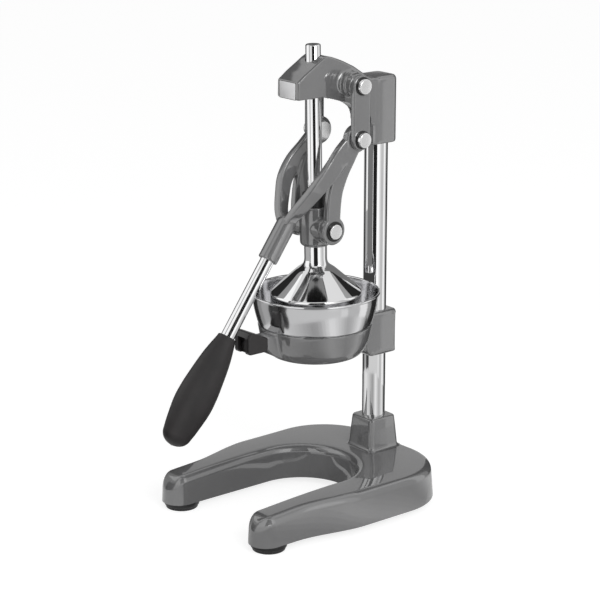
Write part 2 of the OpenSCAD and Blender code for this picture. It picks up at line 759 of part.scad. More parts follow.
boss_len = 5.6;
cheek_out_top = link_inner - side_gap;
cheek_mid_top = cheek_out_top - cheek_t / 2;
cheek_in_low = collar_r + boss_len + side_gap;
cheek_out_low = cheek_in_low + cheek_t;
cheek_mid_low = cheek_in_low + cheek_t / 2;
inner_boss_t = 1;
inner_boss_r = 13;
inner_face = cheek_out_top - cheek_t - inner_boss_t;
inner_head_t = 3;
eye_top_r = 14;
eye_low_r = 14;
arm_w = 20;
arm_end_w = 12;
arm_full_share = 0.15;
leg_w = 17;
arm_corner = 1.5;
arm_steps = 14;
socket_len = 40;
socket_floor_t = 8;
dome_steps = 5;
socket_top = socket_end - socket_len;
// The lever turns this far against the collar, whose buffer swings through the fork
lever_turn = 36;
relief_gap = 1.3;
relief_steps = 4;
low_head_t = 2.3;
socket_screw_r = 2;
socket_screw_inset = 14;
handle_wall = 1.5;
handle_end_gap = 20;

// A place on the handle's axis, at a distance from the middle pivots
function on_handle(s) = [0,
    pivot_back - s * sin(handle_angle) - handle_offset * cos(handle_angle),
    middle_pivot_z - s * cos(handle_angle) + handle_offset * sin(handle_angle)];

module along_handle(s) {
    translate(on_handle(s)) rotate([180 - handle_angle, 0, 0]) children();
}

pivot_drop = middle_pivot_z - lower_pivot_z;
fork_top = on_handle(socket_top);
fork_run = pivot_back - fork_top[1];
fork_fall = middle_pivot_z - fork_top[2];

// Middle line of the upper arm, as shares of the way to the socket, and of the half spread
arm_shares = [[1, 0, 0], [0.97, 0.25, 0.175], [1.04, 0.49, 0.345], [0.94, 0.69, 0.52], [0.69, 0.83, 0.69],
    [0.4, 0.95, 0.85], [0.14, 1, 0.97]];
arm_path = [for (p = arm_shares) [p[0] * cheek_mid_top, pivot_back - p[1] * fork_run, middle_pivot_z - p[2] * fork_fall]];

// Middle line of the lower arm, as shares of the way from the middle to the lower pivots
leg_shares = [[0, 0, 0], [0.2, 0.35, 0.19], [0.62, 0.65, 0.36], [0.95, 0.88, 0.55], [1, 0.97, 0.72], [1, 1, 0.87], [1, 1, 1]];
leg_path = [for (p = leg_shares)
    [lerp(cheek_mid_top, cheek_mid_low, p[0]), pivot_back * (1 - p[1]), middle_pivot_z - p[2] * pivot_drop]];

// A bar of chamfered section swept along a path that stays near the YZ plane
module bar(path, w0, w1, t, steps) {
    rings = [for (i = [0 : steps])
        let (p = curve_at(path, i / steps), q = curve_at(path, min(i / steps + eps, 1)),
            o = curve_at(path, max(i / steps - eps, 0)), d = (q - o) / norm(q - o),
            n = [0, -d[2], d[1]] / norm([0, -d[2], d[1]]), b = cross(d, n), c = arm_corner,
            w = lerp(w0, w1, max(i / steps - arm_full_share, 0) / (1 - arm_full_share)))
        [for (k = [[-1, -1, 0, 1], [-1, -1, 1, 0], [1, -1, 1, 0], [1, -1, 0, 1], [1, 1, 0, 1], [1, 1, 1, 0],
            [-1, 1, 1, 0], [-1, 1, 0, 1]])
            p + n * k[1] * (w / 2 - c * k[3]) + b * k[0] * (t / 2 - c * k[2])]];
    skin(rings);
}

module lever_fork() {
    color(cast_grey) difference() {
        union() {
            both_sides() {
                bar(arm_path, arm_w, arm_end_w, cheek_t, arm_steps);
                bar(leg_path, leg_w, leg_w, cheek_t, arm_steps);
                axle(pivot_back, middle_pivot_z, eye_top_r, cheek_out_top - cheek_t, cheek_out_top);
                axle(pivot_back, middle_pivot_z, inner_boss_r, inner_face, cheek_out_top);
                axle(0, lower_pivot_z, eye_low_r, cheek_in_low, cheek_out_low);
            }
            along_handle(socket_top) rotate_extrude() polygon(concat([[0, socket_len]], [[socket_r, socket_len]],
                [for (g = [0 : 90 / dome_steps : 90]) [socket_r * cos(g), -socket_r * sin(g)]]));
        }
        hull() for (i = [0 : relief_steps]) translate([0, 0, lower_pivot_z])
            rotate([lever_turn * i / relief_steps, 0, 0])
            cylinder(r = buffer_r + relief_gap, h = collar_top + buffer_h + relief_gap - lower_pivot_z, $fn = hull_fn);
        along_handle(socket_top + socket_floor_t) cylinder(r = tube_r + fit, h = socket_end);
        both_sides() {
            axle(pivot_back, middle_pivot_z, pin_r + fit, 0, link_outer);
            axle(0, lower_pivot_z, link_bush_r + fit, 0, link_outer);
        }
        along_handle(socket_end - socket_screw_inset) rotate([90, 0, 0])
            cylinder(r = socket_screw_r + fit, h = 2 * socket_r);
    }
}

module handle_tube() {
    start = socket_top + socket_floor_t + fit;
    color(chrome) along_handle(start) difference() {
        cylinder(r = tube_r, h = grip_end - handle_end_gap - start);
        translate([0, 0, -over]) cylinder(r = tube_r - handle_wall, h = grip_end);
    }
}

module socket_screw() {
    color(steel) along_handle(socket_end - socket_screw_inset) rotate([90, 0, 0])
        translate([0, 0, tube_r + fit]) cylinder(r = socket_screw_r, h = socket_r - tube_r - 2 * fit);
}

// Outline of the grip, as shares of its length and of its largest radius
grip_shares = [[0, 0.48], [0.03, 0.51], [0.1, 0.62], [0.178, 0.727], [0.25, 0.8], [0.33, 0.866], [0.41, 0.923],
    [0.475, 0.966], [0.54, 0.99], [0.6, 1], [0.665, 0.978], [0.729, 0.928], [0.79, 0.873], [0.839, 0.825],
    [0.89, 0.76], [0.924, 0.711], [0.955, 0.6], [0.975, 0.464], [0.99, 0.28], [1, 0]];

module handle_grip() {
    long = grip_end - grip_start;
    color(grip_black) along_handle(grip_start) difference() {
        rotate_extrude($fn = smooth) polygon(concat([[0, 0]], [for (p = grip_shares) [p[1] * grip_r, p[0] * long]]));
        translate([0, 0, -over]) cylinder(r = tube_r + fit, h = long - handle_end_gap + over + fit);
    }
}

// Middle pins: fixed in the cheeks, with a large inner cap
module middle_pin() {
    color(chrome) {
        axle(pivot_back, middle_pivot_z, pin_r, inner_face, head_face);
        pin_head(middle_pivot_z, pivot_back, head_face);
    }
}

module middle_pin_caps() {
    color(chrome) both_sides()
        axle(pivot_back, middle_pivot_z, inner_head_d / 2, inner_face - inner_head_t, inner_face);
}

// Plunger: rod, collar with trunnions, buffer and press bell

trunnion_r = 13;
trunnion_end = cheek_in_low - side_gap;
lower_head_face = cheek_out_low + flange_t + head_gap;
pin_root = 1;
rod_chamfer = 1;
collar_chamfer = 2;
collar_screw_r = 2.5;
collar_screw_up = 8;
neck_low = 253;
flare_low = 247;
flare_r = 19;
flare_mid_share = 0.3;
bell_roof_drop = 4;
bell_ceiling = flare_low - bell_roof_drop;
bell_floor_t = 7;
rod_low = bell_ceiling + bell_floor_t;
bell_edge = 1.2;
bell_screw_r = 3;
bell_screw_head_r = 5.5;
bell_screw_head_t = 3;
bell_screw_len = 14;
bell_screw_spare = 1.5;

module press_rod() {
    long = rod_top - rod_low;
    color(chrome) translate([0, 0, rod_low]) difference() {
        union() {
            cylinder(r = rod_r, h = long - rod_chamfer, $fn = smooth);
            translate([0, 0, long - rod_chamfer])
                cylinder(r1 = rod_r, r2 = rod_r - rod_chamfer, h = rod_chamfer, $fn = smooth);
        }
        translate([0, 0, -over]) cylinder(r = bell_screw_r + fit, h = bell_screw_len + over);
    }
}

module rod_collar() {
    color(cast_grey) difference() {
        union() {
            translate([0, 0, collar_bottom]) cylinder(r1 = collar_r - collar_chamfer, r2 = collar_r, h = collar_chamfer);
            translate([0, 0, collar_bottom + collar_chamfer])
                cylinder(r = collar_r, h = collar_top - collar_bottom - collar_chamfer);
            axle(0, lower_pivot_z, trunnion_r, -trunnion_end, trunnion_end);
        }
        translate([0, 0, collar_bottom - over]) cylinder(r = rod_r + fit, h = collar_top);
        both_sides() axle(0, lower_pivot_z, pin_r + fit, rod_r + pin_root, link_outer);
        translate([0, 0, collar_bottom + collar_screw_up]) rotate([-90, 0, 0])
            cylinder(r = collar_screw_r + fit, h = 2 * collar_r);
    }
}

module collar_screw() {
    color(steel) translate([0, rod_r + fit, collar_bottom + collar_screw_up]) rotate([-90, 0, 0])
        cylinder(r = collar_screw_r, h = collar_r - rod_r - screw_recess);
}

module rubber_buffer() {
    color(rubber) translate([0, 0, collar_top]) difference() {
        cylinder(r = buffer_r, h = buffer_h);
        translate([0, 0, -over]) cylinder(r = rod_r + fit, h = buffer_h + 2 * over);
    }
}

module lower_pin() {
    color(chrome) {
        axle(0, lower_pivot_z, pin_r, rod_r + pin_root + fit, lower_head_face);
        pin_head(lower_pivot_z, 0, lower_head_face, low_head_t);
    }
}

module press_bell() {
    mid = lerp(neck_r, flare_r, flare_mid_share);
    inner_r = bell_r - bell_wall;
    color(chrome) difference() {
        rotate_extrude($fn = smooth) polygon([
            [0, bell_ceiling], [flare_r - bell_wall, bell_ceiling], [inner_r, bell_shoulder - bell_wall],
            [inner_r, bell_bottom], [bell_r, bell_bottom], [bell_r, bell_shoulder - bell_edge],
            [bell_r - bell_edge, bell_shoulder], [flare_r, flare_low], [mid, lerp(flare_low, neck_low, 0.5)],
            [neck_r, neck_low], [neck_r, collar_bottom], [0, collar_bottom]]);
        translate([0, 0, rod_low]) cylinder(r = rod_r + fit, h = rod_top);
        cylinder(r = bell_screw_r + fit, h = rod_low + over);
    }
}

module bell_screw() {
    color(steel) translate([0, 0, bell_ceiling - bell_screw_head_t]) {
        cylinder(r = bell_screw_head_r, h = bell_screw_head_t);
        translate([0, 0, bell_screw_head_t])
            cylinder(r = bell_screw_r, h = bell_floor_t + bell_screw_len - bell_screw_spare);
    }
}

// The plunger leans a little forward in its guides
rod_lean = 1.05;

module leaning() {
    translate([0, 0, lower_pivot_z]) rotate([rod_lean, 0, 0]) translate([0, 0, -lower_pivot_z]) children();
}

// How far the lowest and foremost point of the grip lies in front of the rod
front_reach = handle_offset * cos(handle_angle) - pivot_back + max([for (p = grip_shares)
    lerp(grip_start, grip_end, p[0]) * sin(handle_angle) + p[1] * grip_r * cos(handle_angle)]);

module place() {
    translate([0, (front_reach - base_back) / 2, 0]) children();
}

place() base_casting();
place() foot(0);  // foot_front_left
place() foot(1);  // foot_front_right
place() foot(2);  // foot_rear_left
place() foot(3);  // foot_rear_right
place() foot_screws();
place() post_tube();
place() post_plug();
place() base_bolt();
place() base_washer();
place() head_casting();
place() set_screws(head_screw_heights, head_screw_len);  // head_set_screws
place() nose_plate();
place() guide_bush(bush_top - bush_len);  // guide_bush_upper
place() guide_bush(head_under);  // guide_bush_lower
place() bowl_bracket();
place() set_screws(clamp_screw_heights, clamp_screw_len);  // bracket_set_screws
place() steel_bowl();
place() strainer_cone();
place() handle_rest();
place() handle_rest_screw();
place() mirror([1, 0, 0]) link();  // left_link
place() link();  // right_link
place() both_sides() flanged_bush(pivot_back, upper_pivot_z, link_inner, link_outer);  // link_bushes_upper
place() both_sides() flanged_bush(pivot_back, middle_pivot_z, link_inner, link_outer);  // link_bushes_middle
place() upper_pivot_pin();
place() upper_pin_cap();
place() lever_fork();
place() both_sides() flanged_bush(0, lower_pivot_z, cheek_in_low, cheek_out_low);  // fork_bushes
place() mirror([1, 0, 0]) middle_pin();  // middle_pin_left
place() middle_pin();  // middle_pin_right
place() middle_pin_caps();
place() handle_tube();
place() socket_screw();
place() handle_grip();
place() leaning() press_rod();
place() leaning() rod_collar();
place() leaning() collar_screw();
place() leaning() rubber_buffer();
place() mirror([1, 0, 0]) lower_pin();  // lower_pin_left
place() lower_pin();  // lower_pin_right
place() leaning() press_bell();
place() leaning() bell_screw();
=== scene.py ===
import math

import bmesh
import bpy
from mathutils import Matrix, Vector


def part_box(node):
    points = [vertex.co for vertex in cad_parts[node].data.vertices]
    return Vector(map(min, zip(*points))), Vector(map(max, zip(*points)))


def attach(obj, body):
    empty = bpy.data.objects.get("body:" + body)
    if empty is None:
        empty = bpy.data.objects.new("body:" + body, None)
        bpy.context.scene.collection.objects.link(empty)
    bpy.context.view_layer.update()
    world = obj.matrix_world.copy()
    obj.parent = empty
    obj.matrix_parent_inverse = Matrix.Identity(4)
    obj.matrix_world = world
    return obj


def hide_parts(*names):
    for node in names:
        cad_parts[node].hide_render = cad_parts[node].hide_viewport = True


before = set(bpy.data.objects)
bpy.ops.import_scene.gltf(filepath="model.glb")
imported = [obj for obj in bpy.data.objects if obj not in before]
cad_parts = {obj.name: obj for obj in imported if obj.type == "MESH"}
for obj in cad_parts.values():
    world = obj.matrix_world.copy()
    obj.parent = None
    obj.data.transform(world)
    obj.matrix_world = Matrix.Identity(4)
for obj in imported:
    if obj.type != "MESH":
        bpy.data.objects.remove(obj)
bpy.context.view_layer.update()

# Camera
# It looks down on the press from its right front corner, from two metres away, and is not rolled.
# Every outline below is in millimetres from the axis of the press rod at table height. The post stands
# post_y behind that axis, and rod_y is the axis in the shared frame, in metres.
post_y = 79
post_low, post_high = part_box("post_tube")
rod_y = (post_low.y + post_high.y) / 2 - post_y / 1000
camera_turn, camera_tilt = 50.849, 16.074


def placed(name, data):
    """Puts a mesh, a light or a camera into the scene."""
    thing = bpy.data.objects.new(name, data)
    bpy.context.scene.collection.objects.link(thing)
    return thing


camera_data = bpy.data.cameras.new("photo_camera")
camera_data.sensor_width = 36
camera_data.lens = 122.93
camera_data.clip_end = 30
camera = placed("photo_camera", camera_data)
camera.location = (1.5186, rod_y - 1.2559, 0.78105)
camera.rotation_euler = (math.radians(90 - camera_tilt), 0, math.radians(camera_turn))
bpy.context.scene.camera = camera
bpy.context.scene.view_settings.view_transform = "Standard"


# Room
# A white table top that runs into a white room, lit by its walls and two soft boxes overhead.
# Dark and light cards stand round, over and under the press. Only reflections see them, and they draw
# the dark bands in the chrome, in the bowl and in the bell.
def new_node(tree, kind, **values):
    """Adds a node and sets its inputs by their labels."""
    node = tree.nodes.new(kind)
    for label, value in values.items():
        node.inputs[label].default_value = value
    return node


def empty_tree(owner, kind):
    """Clears the nodes of a material or of the world and gives it a new output."""
    owner.use_nodes = True
    owner.node_tree.nodes.clear()
    return owner.node_tree, owner.node_tree.nodes.new(kind)


def seen_by(tree, rays, others, shader):
    """Mixes two shaders: one kind of ray meets the second, every other kind the first."""
    path = tree.nodes.new("ShaderNodeLightPath")
    mix = tree.nodes.new("ShaderNodeMixShader")
    tree.links.new(path.outputs[rays], mix.inputs[0])
    tree.links.new(others.outputs[0], mix.inputs[1])
    tree.links.new(shader.outputs[0], mix.inputs[2])
    return mix


table_half = 9
table_mesh = bpy.data.meshes.new("table_top")
table_mesh.from_pydata([(x * table_half, y * table_half, 0) for x, y in ((-1, -1), (1, -1), (1, 1), (-1, 1))],
                       [], [(0, 1, 2, 3)])
table_top = placed("table_top", table_mesh)
table_white = bpy.data.materials.new("table_white")
tree, out = empty_tree(table_white, "ShaderNodeOutputMaterial")
shaded = new_node(tree, "ShaderNodeBsdfDiffuse", Color=(0.4, 0.4, 0.4, 1))
glow = new_node(tree, "ShaderNodeEmission", Strength=0.79)
photographed = tree.nodes.new("ShaderNodeAddShader")
tree.links.new(shaded.outputs[0], photographed.inputs[0])
tree.links.new(glow.outputs[0], photographed.inputs[1])
plain = new_node(tree, "ShaderNodeBsdfDiffuse", Color=(0.62, 0.62, 0.62, 1))
mirrored = new_node(tree, "ShaderNodeEmission", Strength=0.66)
look = seen_by(tree, "Is Camera Ray", seen_by(tree, "Is Glossy Ray", plain, mirrored), photographed)
tree.links.new(look.outputs[0], out.inputs["Surface"])
table_mesh.materials.append(table_white)

world = bpy.data.worlds.new("white_room")
bpy.context.scene.world = world
tree, out = empty_tree(world, "ShaderNodeOutputWorld")
lit, mirrored, photographed = [new_node(tree, "ShaderNodeBackground", Color=(1, 1, 1, 1), Strength=strength)
                               for strength in (0.46, 0.78, 1.1)]
look = seen_by(tree, "Is Camera Ray", seen_by(tree, "Is Glossy Ray", lit, mirrored), photographed)
tree.links.new(look.outputs[0], out.inputs["Surface"])


press_middle = Vector((0, 0, 0.25))


def soft_box(name, place, width, height, power):
    """A rectangular light that is aimed at the middle of the press."""
    light = bpy.data.lights.new(name, "AREA")
    light.shape = "RECTANGLE"
    light.size = width
    light.size_y = height
    light.energy = power
    box = placed(name, light)
    box.location = place
    box.rotation_euler = (press_middle - Vector(place)).to_track_quat("-Z", "Y").to_euler()


soft_box("soft_box_over_right", (1.7, -0.4, 1.1), 1.2, 1.2, 21)
soft_box("soft_box_front_left", (-1.4, -1.5, 1.3), 1.0, 1.2, 2)


def card(name, corners, brightness, faces=None):
    """A glowing card that only reflections see, its corners in metres from the axis of the press rod."""
    material = bpy.data.materials.new(name)
    tree, out = empty_tree(material, "ShaderNodeOutputMaterial")
    glow = new_node(tree, "ShaderNodeEmission", Color=(1, 1, 1, 1), Strength=brightness)
    tree.links.new(glow.outputs[0], out.inputs["Surface"])
    mesh = bpy.data.meshes.new(name)
    mesh.from_pydata([(x, rod_y + y, z) for x, y, z in corners], [], faces or [tuple(range(len(corners)))])
    mesh.materials.append(material)
    piece = placed(name, mesh)
    piece.visible_camera = piece.visible_diffuse = piece.visible_shadow = False
    piece.visible_transmission = piece.visible_volume_scatter = False


ring_y, card_foot, card_top = 0.03, -0.02, 0.66


def from_camera(turn, radius, z, centre_y):
    """A point on a circle round the press, its angle counted from the camera to the right."""
    a = math.radians(camera_turn + turn)
    return (radius * math.sin(a), centre_y - radius * math.cos(a), z)


def reflector(name, start, end, brightness, low, high, radius=0.37):
    """A curved upright card from one angle to another."""
    steps = max(2, round((end - start) / 6))
    corners = [from_camera(start + (end - start) * i / steps, radius, z, ring_y)
               for i in range(steps + 1) for z in (low, high)]
    card(name, corners, brightness, [(2 * i, 2 * i + 2, 2 * i + 3, 2 * i + 1) for i in range(steps)])


for number, stretch in enumerate((
        (-180, -150, 0.5, card_foot, 0.49), (-150, -122, 0.02, card_foot, 0.75),
        (-122, -108, 0.3, card_foot, card_top), (-108, -64, 0.42, card_foot, 0.2),
        (-108, -64, 1.0, 0.2, card_top), (-64, -52, 0.35, card_foot, card_top), (-52, -21, 1.0, 0.1, 0.5),
        (-21, 17, 0.015, 0.1, card_top), (17, 42, 1.08, 0.1, 0.5), (42, 56, 0.78, card_foot, 0.5),
        (56, 84, 0.56, card_foot, card_top), (84, 106, 0.95, card_foot, card_top),
        (106, 120, 0.35, card_foot, card_top), (120, 150, 0.02, card_foot, card_top),
        (150, 180, 0.5, card_foot, 0.49), (-180, -150, 0.1, 0.49, 0.75), (150, 180, 0.1, 0.49, 0.75))):
    reflector("reflector_%d" % number, *stretch)
reflector("reflector_low_left", -88, -56, 0.05, card_foot, 0.13, 0.36)

card("card_before_post", ((-0.016, 0.04, 0.17), (0.02, 0.038, 0.17), (0.02, 0.038, 0.368),
                          (-0.016, 0.04, 0.368)), 0.18)
card("card_behind_bowl", ((-0.012, 0.0662, 0.192), (0.014, 0.0662, 0.192), (0.014, 0.0662, 0.23),
                          (-0.012, 0.0662, 0.23)), 0.05)
floor_shades = ((-150, 0.02), (-121, 0.02), (-119, 0.5), (-87, 0.85), (-45, 0.6), (-14, 0.36), (-6, 0.4),
                (17, 0.88), (49, 0.45), (60, 0.5), (86, 0.84), (104, 0.45), (112, 0.05), (150, 0.02))
floor_width, floor_near, floor_far, floor_z = 6, 0.1, 0.38, 0.003
for number, start in enumerate(range(floor_shades[0][0], floor_shades[-1][0], floor_width)):
    middle = start + floor_width / 2
    place = next(i for i in range(len(floor_shades) - 1) if middle <= floor_shades[i + 1][0])
    (turn_a, shade_a), (turn_b, shade_b) = floor_shades[place:place + 2]
    turns = [start + floor_width * i / 3 for i in range(4)]
    corners = ([from_camera(turn, floor_near, floor_z, post_y / 1000) for turn in turns]
               + [from_camera(turn, floor_far, floor_z, post_y / 1000) for turn in reversed(turns)])
    card("floor_card_%d" % number, corners,
         shade_a + (shade_b - shade_a) * (middle - turn_a) / (turn_b - turn_a))
# this dark card between the legs is painted shade on the table: only reflections see it, as the floor in
# shade inside the horseshoe
card("card_in_base", ((-0.052, -0.13, 0.004), (0.052, -0.13, 0.004), (0.052, -0.01, 0.004),
                      (0.04, 0.015, 0.004), (0, 0.03, 0.004), (-0.04, 0.015, 0.004),
                      (-0.052, -0.01, 0.004)), 0.14)
# the cards overhead are drawn by distances from the rod's axis, toward the camera and across to its right
toward, across = Vector((0.7754, -0.6314, 0)), Vector((0.6314, 0.7754, 0))
for name, z, outline, brightness in (
        ("star", 0.749, ((0.123, 0), (0.121, -0.06), (0.112, -0.12), (0.104, -0.15), (0.12, -0.15),
                         (0.165, -0.12), (0.165, 0.12), (0.12, 0.15), (0.104, 0.15), (0.112, 0.12),
                         (0.121, 0.06)), 0.006),
        ("grey", 0.75, ((0.103, 0), (0.098, -0.06), (0.078, -0.15), (0.11, -0.17), (0.14, 0), (0.11, 0.17),
                        (0.078, 0.15), (0.098, 0.06)), 0.22),
        ("dark", 0.751, ((-0.02, -0.28), (-0.02, 0.17), (0.1, 0.17), (0.1, -0.28)), 0.05)):
    corners = [toward * t + across * a + Vector((0, 0, z)) for t, a in outline]
    card("card_overhead_" + name, corners, brightness)


# Base casting
# A horseshoe of cast metal with a rounded top edge, hollow underneath, and a square socket for the post.
# It is one casting, painted in a glossy mid grey like the head, the bracket, the links and the fork.
def smooth(mesh, sharp=30):
    """Shades a mesh smooth, apart from edges that are sharper than an angle."""
    mesh.polygons.foreach_set("use_smooth", [True] * len(mesh.polygons))
    mesh.set_sharp_from_angle(angle=math.radians(sharp))


def solid_mesh(name, points, faces, sharp=30):
    """Makes a closed piece from points in millimetres."""
    mesh = bpy.data.meshes.new(name)
    mesh.from_pydata([(x / 1000, y / 1000 + rod_y, z / 1000) for x, y, z in points], [], faces)
    mesh.validate()
    work = bmesh.new()
    work.from_mesh(mesh)
    bmesh.ops.remove_doubles(work, verts=work.verts, dist=1e-7)
    bmesh.ops.recalc_face_normals(work, faces=work.faces)
    work.to_mesh(mesh)
    work.free()
    smooth(mesh, sharp)
    return placed(name, mesh)


def skin_faces(rings, count):
    """The faces of a skin over rings of points, with a lid on its first and last ring."""
    faces = []
    for i in range(rings - 1):
        for j in range(count):
            a, b = i * count + j, i * count + (j + 1) % count
            faces.append((a, b, b + count, a + count))
    return faces + [tuple(range(count)), tuple(range((rings - 1) * count, rings * count))]


def loft(name, rings, sharp=30):
    """Skins rings of as many points each."""
    points = [p for ring in rings for p in ring]
    return solid_mesh(name, points, skin_faces(len(rings), len(rings[0])), sharp)


def bow(centre, radius, start, end, steps):
    """Points on an arc, its angles in degrees."""
    turns = [math.radians(start + (end - start) * i / steps) for i in range(steps + 1)]
    return [(centre[0] + radius * math.cos(a), centre[1] + radius * math.sin(a)) for a in turns]


# the gap between the legs is round at its back, with its centre gap_front before the rod's axis
base_half, base_gap, gap_front, base_back = 101, 54, 18, 109
tip_r, tip_front, tip_drop, base_corner = 17.5, 120, 19, 66
base_top, tip_top, base_low, base_edge, base_draft = 42.3, 38, 7.5, 9, 0.08
base_wall, base_roof, roof_skin, roof_inset = 7, 33, 5, 0.5
tip_steps, leg_steps, back_steps = 12, 24, 45
leg_straight, hollow_from, hollow_grows = 0.25, 6, 5


def back_edge(a):
    """A point of the outer edge, which has round corners, at an angle from the centre of the gap's back."""
    c, s = math.cos(math.radians(a)), math.sin(math.radians(a))
    cx, cy = base_half - base_corner, base_back - base_corner + gap_front
    side, back = base_half / max(c, 0.01), (base_back + gap_front) / max(s, 0.01)
    b = cx * c + cy * s
    curve = b + math.sqrt(max(b * b - (cx * cx + cy * cy - base_corner ** 2), 0))
    t = side if side * s < cy else back if back * c < cx else curve
    return (t * c, -gap_front + t * s)


# each station holds a point of the inner and one of the outer edge, and the height there, from tip to tip
stations = []
for i in range(1, tip_steps + 1):
    a = math.radians(90 * (i - 0.4) / tip_steps)
    y = -tip_front - tip_r * math.cos(a)
    middle = base_gap + tip_r
    stations.append(((middle - tip_r * math.sin(a), y), (middle + tip_r * math.sin(a), y),
                     tip_top - tip_drop * (1 - math.sin(a))))
for i in range(leg_steps):
    t = i / leg_steps
    u = max(t - leg_straight, 0) / (1 - leg_straight)
    y = -tip_front + (tip_front - gap_front) * t
    wide = base_gap + 2 * tip_r
    stations.append(((base_gap, y), (wide + (base_half - wide) * u * u * (3 - 2 * u), y),
                     tip_top + (base_top - tip_top) * math.sin(math.radians(90 * t))))
for i in range(back_steps + 1):
    a = 90 * i / back_steps
    inner = (base_gap * math.cos(math.radians(a)), -gap_front + base_gap * math.sin(math.radians(a)))
    stations.append((inner, back_edge(a), base_top))
stations += [((-near[0], near[1]), (-far[0], far[1]), top) for near, far, top in reversed(stations[:-1])]
rings = []
for k, (near, far, top) in enumerate(stations):
    wide = math.hypot(far[0] - near[0], far[1] - near[1])
    ex, ey = (far[0] - near[0]) / wide, (far[1] - near[1]) / wide
    r = min(base_edge, wide / 2 - base_draft * (top - base_low) - 0.05)
    drawn = base_draft * (top - r - base_low)
    wall = min(base_wall, wide / 3)
    hollow = (min(k, len(stations) - 1 - k) - hollow_from) / hollow_grows
    roof = base_low + (min(base_roof, top - roof_skin) - base_low) * min(max(hollow, 0.01), 1)
    shape = ([(wide, base_low)] + bow((wide - drawn - r, top - r), r, 0, 90, 8)
             + bow((drawn + r, top - r), r, 90, 180, 8)
             + [(0, base_low), (wall, base_low), (wall + roof_inset, roof), (wide - wall - roof_inset, roof),
                (wide - wall, base_low)])
    rings.append([(near[0] + ex * q, near[1] + ey * q, z) for q, z in shape])
horseshoe = loft("base_horseshoe", rings)


def square_ring(half_x, half_y, r, y, z, steps=6):
    """A level rectangle with round corners."""
    ring = []
    for cx, cy, start in ((1, 1, 0), (-1, 1, 90), (-1, -1, 180), (1, -1, 270)):
        corner = bow((cx * (half_x - r), cy * (half_y - r)), r, start, start + 90, steps)
        ring += [(px, py + y, z) for px, py in corner]
    return ring


socket_rings = [square_ring(half, half, r, post_y, z) for half, r, z in
                ((23.2, 9.5, 42.0), (22.2, 8.6, 42.45), (21.1, 7.6, 42.95), (20.2, 6.8, 43.8),
                 (19.6, 6.2, 45), (19.35, 6, 46.4), (18.4, 5.8, 58), (17.1, 5.6, 72.8),
                 (16.9, 5.5, 74.2), (16.4, 5.1, 75.2), (15.6, 4.6, 75.8), (14.8, 4.2, 76))]
post_socket = loft("post_socket", socket_rings)


def joined(pieces, name):
    """Puts the meshes of several pieces into one, as they stand."""
    work = bmesh.new()
    for piece in pieces:
        work.from_mesh(piece.data)
    mesh = bpy.data.meshes.new(name)
    work.to_mesh(mesh)
    work.free()
    for piece in pieces:
        bpy.data.objects.remove(piece)
    return placed(name, mesh)


base = joined([horseshoe, post_socket], "painted_base")


def cloud_and_grain_group():
    """Cloudy patches and a fine grain over a surface, from its own coordinates."""
    group = bpy.data.node_groups.new("cloud_and_grain", "ShaderNodeTree")
    for label, scale in (("Patch Scale", 30), ("Grain Scale", 900)):
        socket = group.interface.new_socket(name=label, in_out="INPUT", socket_type="NodeSocketFloat")
        socket.default_value = scale
    for label in ("Patch", "Grain"):
        group.interface.new_socket(name=label, in_out="OUTPUT", socket_type="NodeSocketFloat")
    inlet, outlet = group.nodes.new("NodeGroupInput"), group.nodes.new("NodeGroupOutput")
    place = group.nodes.new("ShaderNodeTexCoord")
    for label, detail in (("Patch", 3), ("Grain", 2)):
        noise = new_node(group, "ShaderNodeTexNoise", Detail=detail)
        group.links.new(place.outputs["Object"], noise.inputs["Vector"])
        group.links.new(inlet.outputs[label + " Scale"], noise.inputs["Scale"])
        group.links.new(noise.outputs[0], outlet.inputs[label])
    return group


cloud_group = cloud_and_grain_group()


def finish_of(name, colour, dark, rough, rough_spread, metal=0.0, coat=0.0, coat_rough=0.05, bump=0.0,
              patch_scale=30, grain_scale=900):
    """A finish between two near colours in patches, its roughness and its dents from the grain."""
    material = bpy.data.materials.new(name)
    material.use_nodes = True
    tree = material.node_tree
    shader = tree.nodes["Principled BSDF"]
    for label, value in (("Metallic", metal), ("Coat Weight", coat), ("Coat Roughness", coat_rough),
                         ("Coat IOR", 2.2)):
        shader.inputs[label].default_value = value
    clouds = tree.nodes.new("ShaderNodeGroup")
    clouds.node_tree = cloud_group
    clouds.inputs["Patch Scale"].default_value = patch_scale
    clouds.inputs["Grain Scale"].default_value = grain_scale
    tint = tree.nodes.new("ShaderNodeMix")
    tint.data_type = "RGBA"
    tint.inputs["A"].default_value = (*dark, 1)
    tint.inputs["B"].default_value = (*colour, 1)
    # the noise hardly leaves this range, which is stretched over both colours
    stretch = tree.nodes.new("ShaderNodeMapRange")
    stretch.inputs["From Min"].default_value = 0.3
    stretch.inputs["From Max"].default_value = 0.7
    tree.links.new(clouds.outputs["Patch"], stretch.inputs["Value"])
    tree.links.new(stretch.outputs[0], tint.inputs["Factor"])
    tree.links.new(tint.outputs["Result"], shader.inputs["Base Color"])
    worn = tree.nodes.new("ShaderNodeMapRange")
    worn.inputs["To Min"].default_value = rough - rough_spread
    worn.inputs["To Max"].default_value = rough + rough_spread
    tree.links.new(clouds.outputs["Grain"], worn.inputs["Value"])
    tree.links.new(worn.outputs[0], shader.inputs["Roughness"])
    if bump:
        dent = new_node(tree, "ShaderNodeBump", Strength=bump, Distance=0.0004)
        tree.links.new(clouds.outputs["Grain"], dent.inputs["Height"])
        tree.links.new(dent.outputs[0], shader.inputs["Normal"])
    return material


grey_paint = finish_of("gloss_grey_paint", (0.135, 0.135, 0.137), (0.118, 0.118, 0.12), 0.38, 0.05,
                       coat=1.0, coat_rough=0.045, bump=0.02, patch_scale=18, grain_scale=420)


def dress(piece, material, body, slot, *stands_for):
    """Gives a piece its finish and body, and hides the CAD nodes that it stands for. The slot is not used."""
    piece.data.materials.clear()
    piece.data.materials.append(material)
    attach(piece, body)
    if stands_for:
        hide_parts(*stands_for)


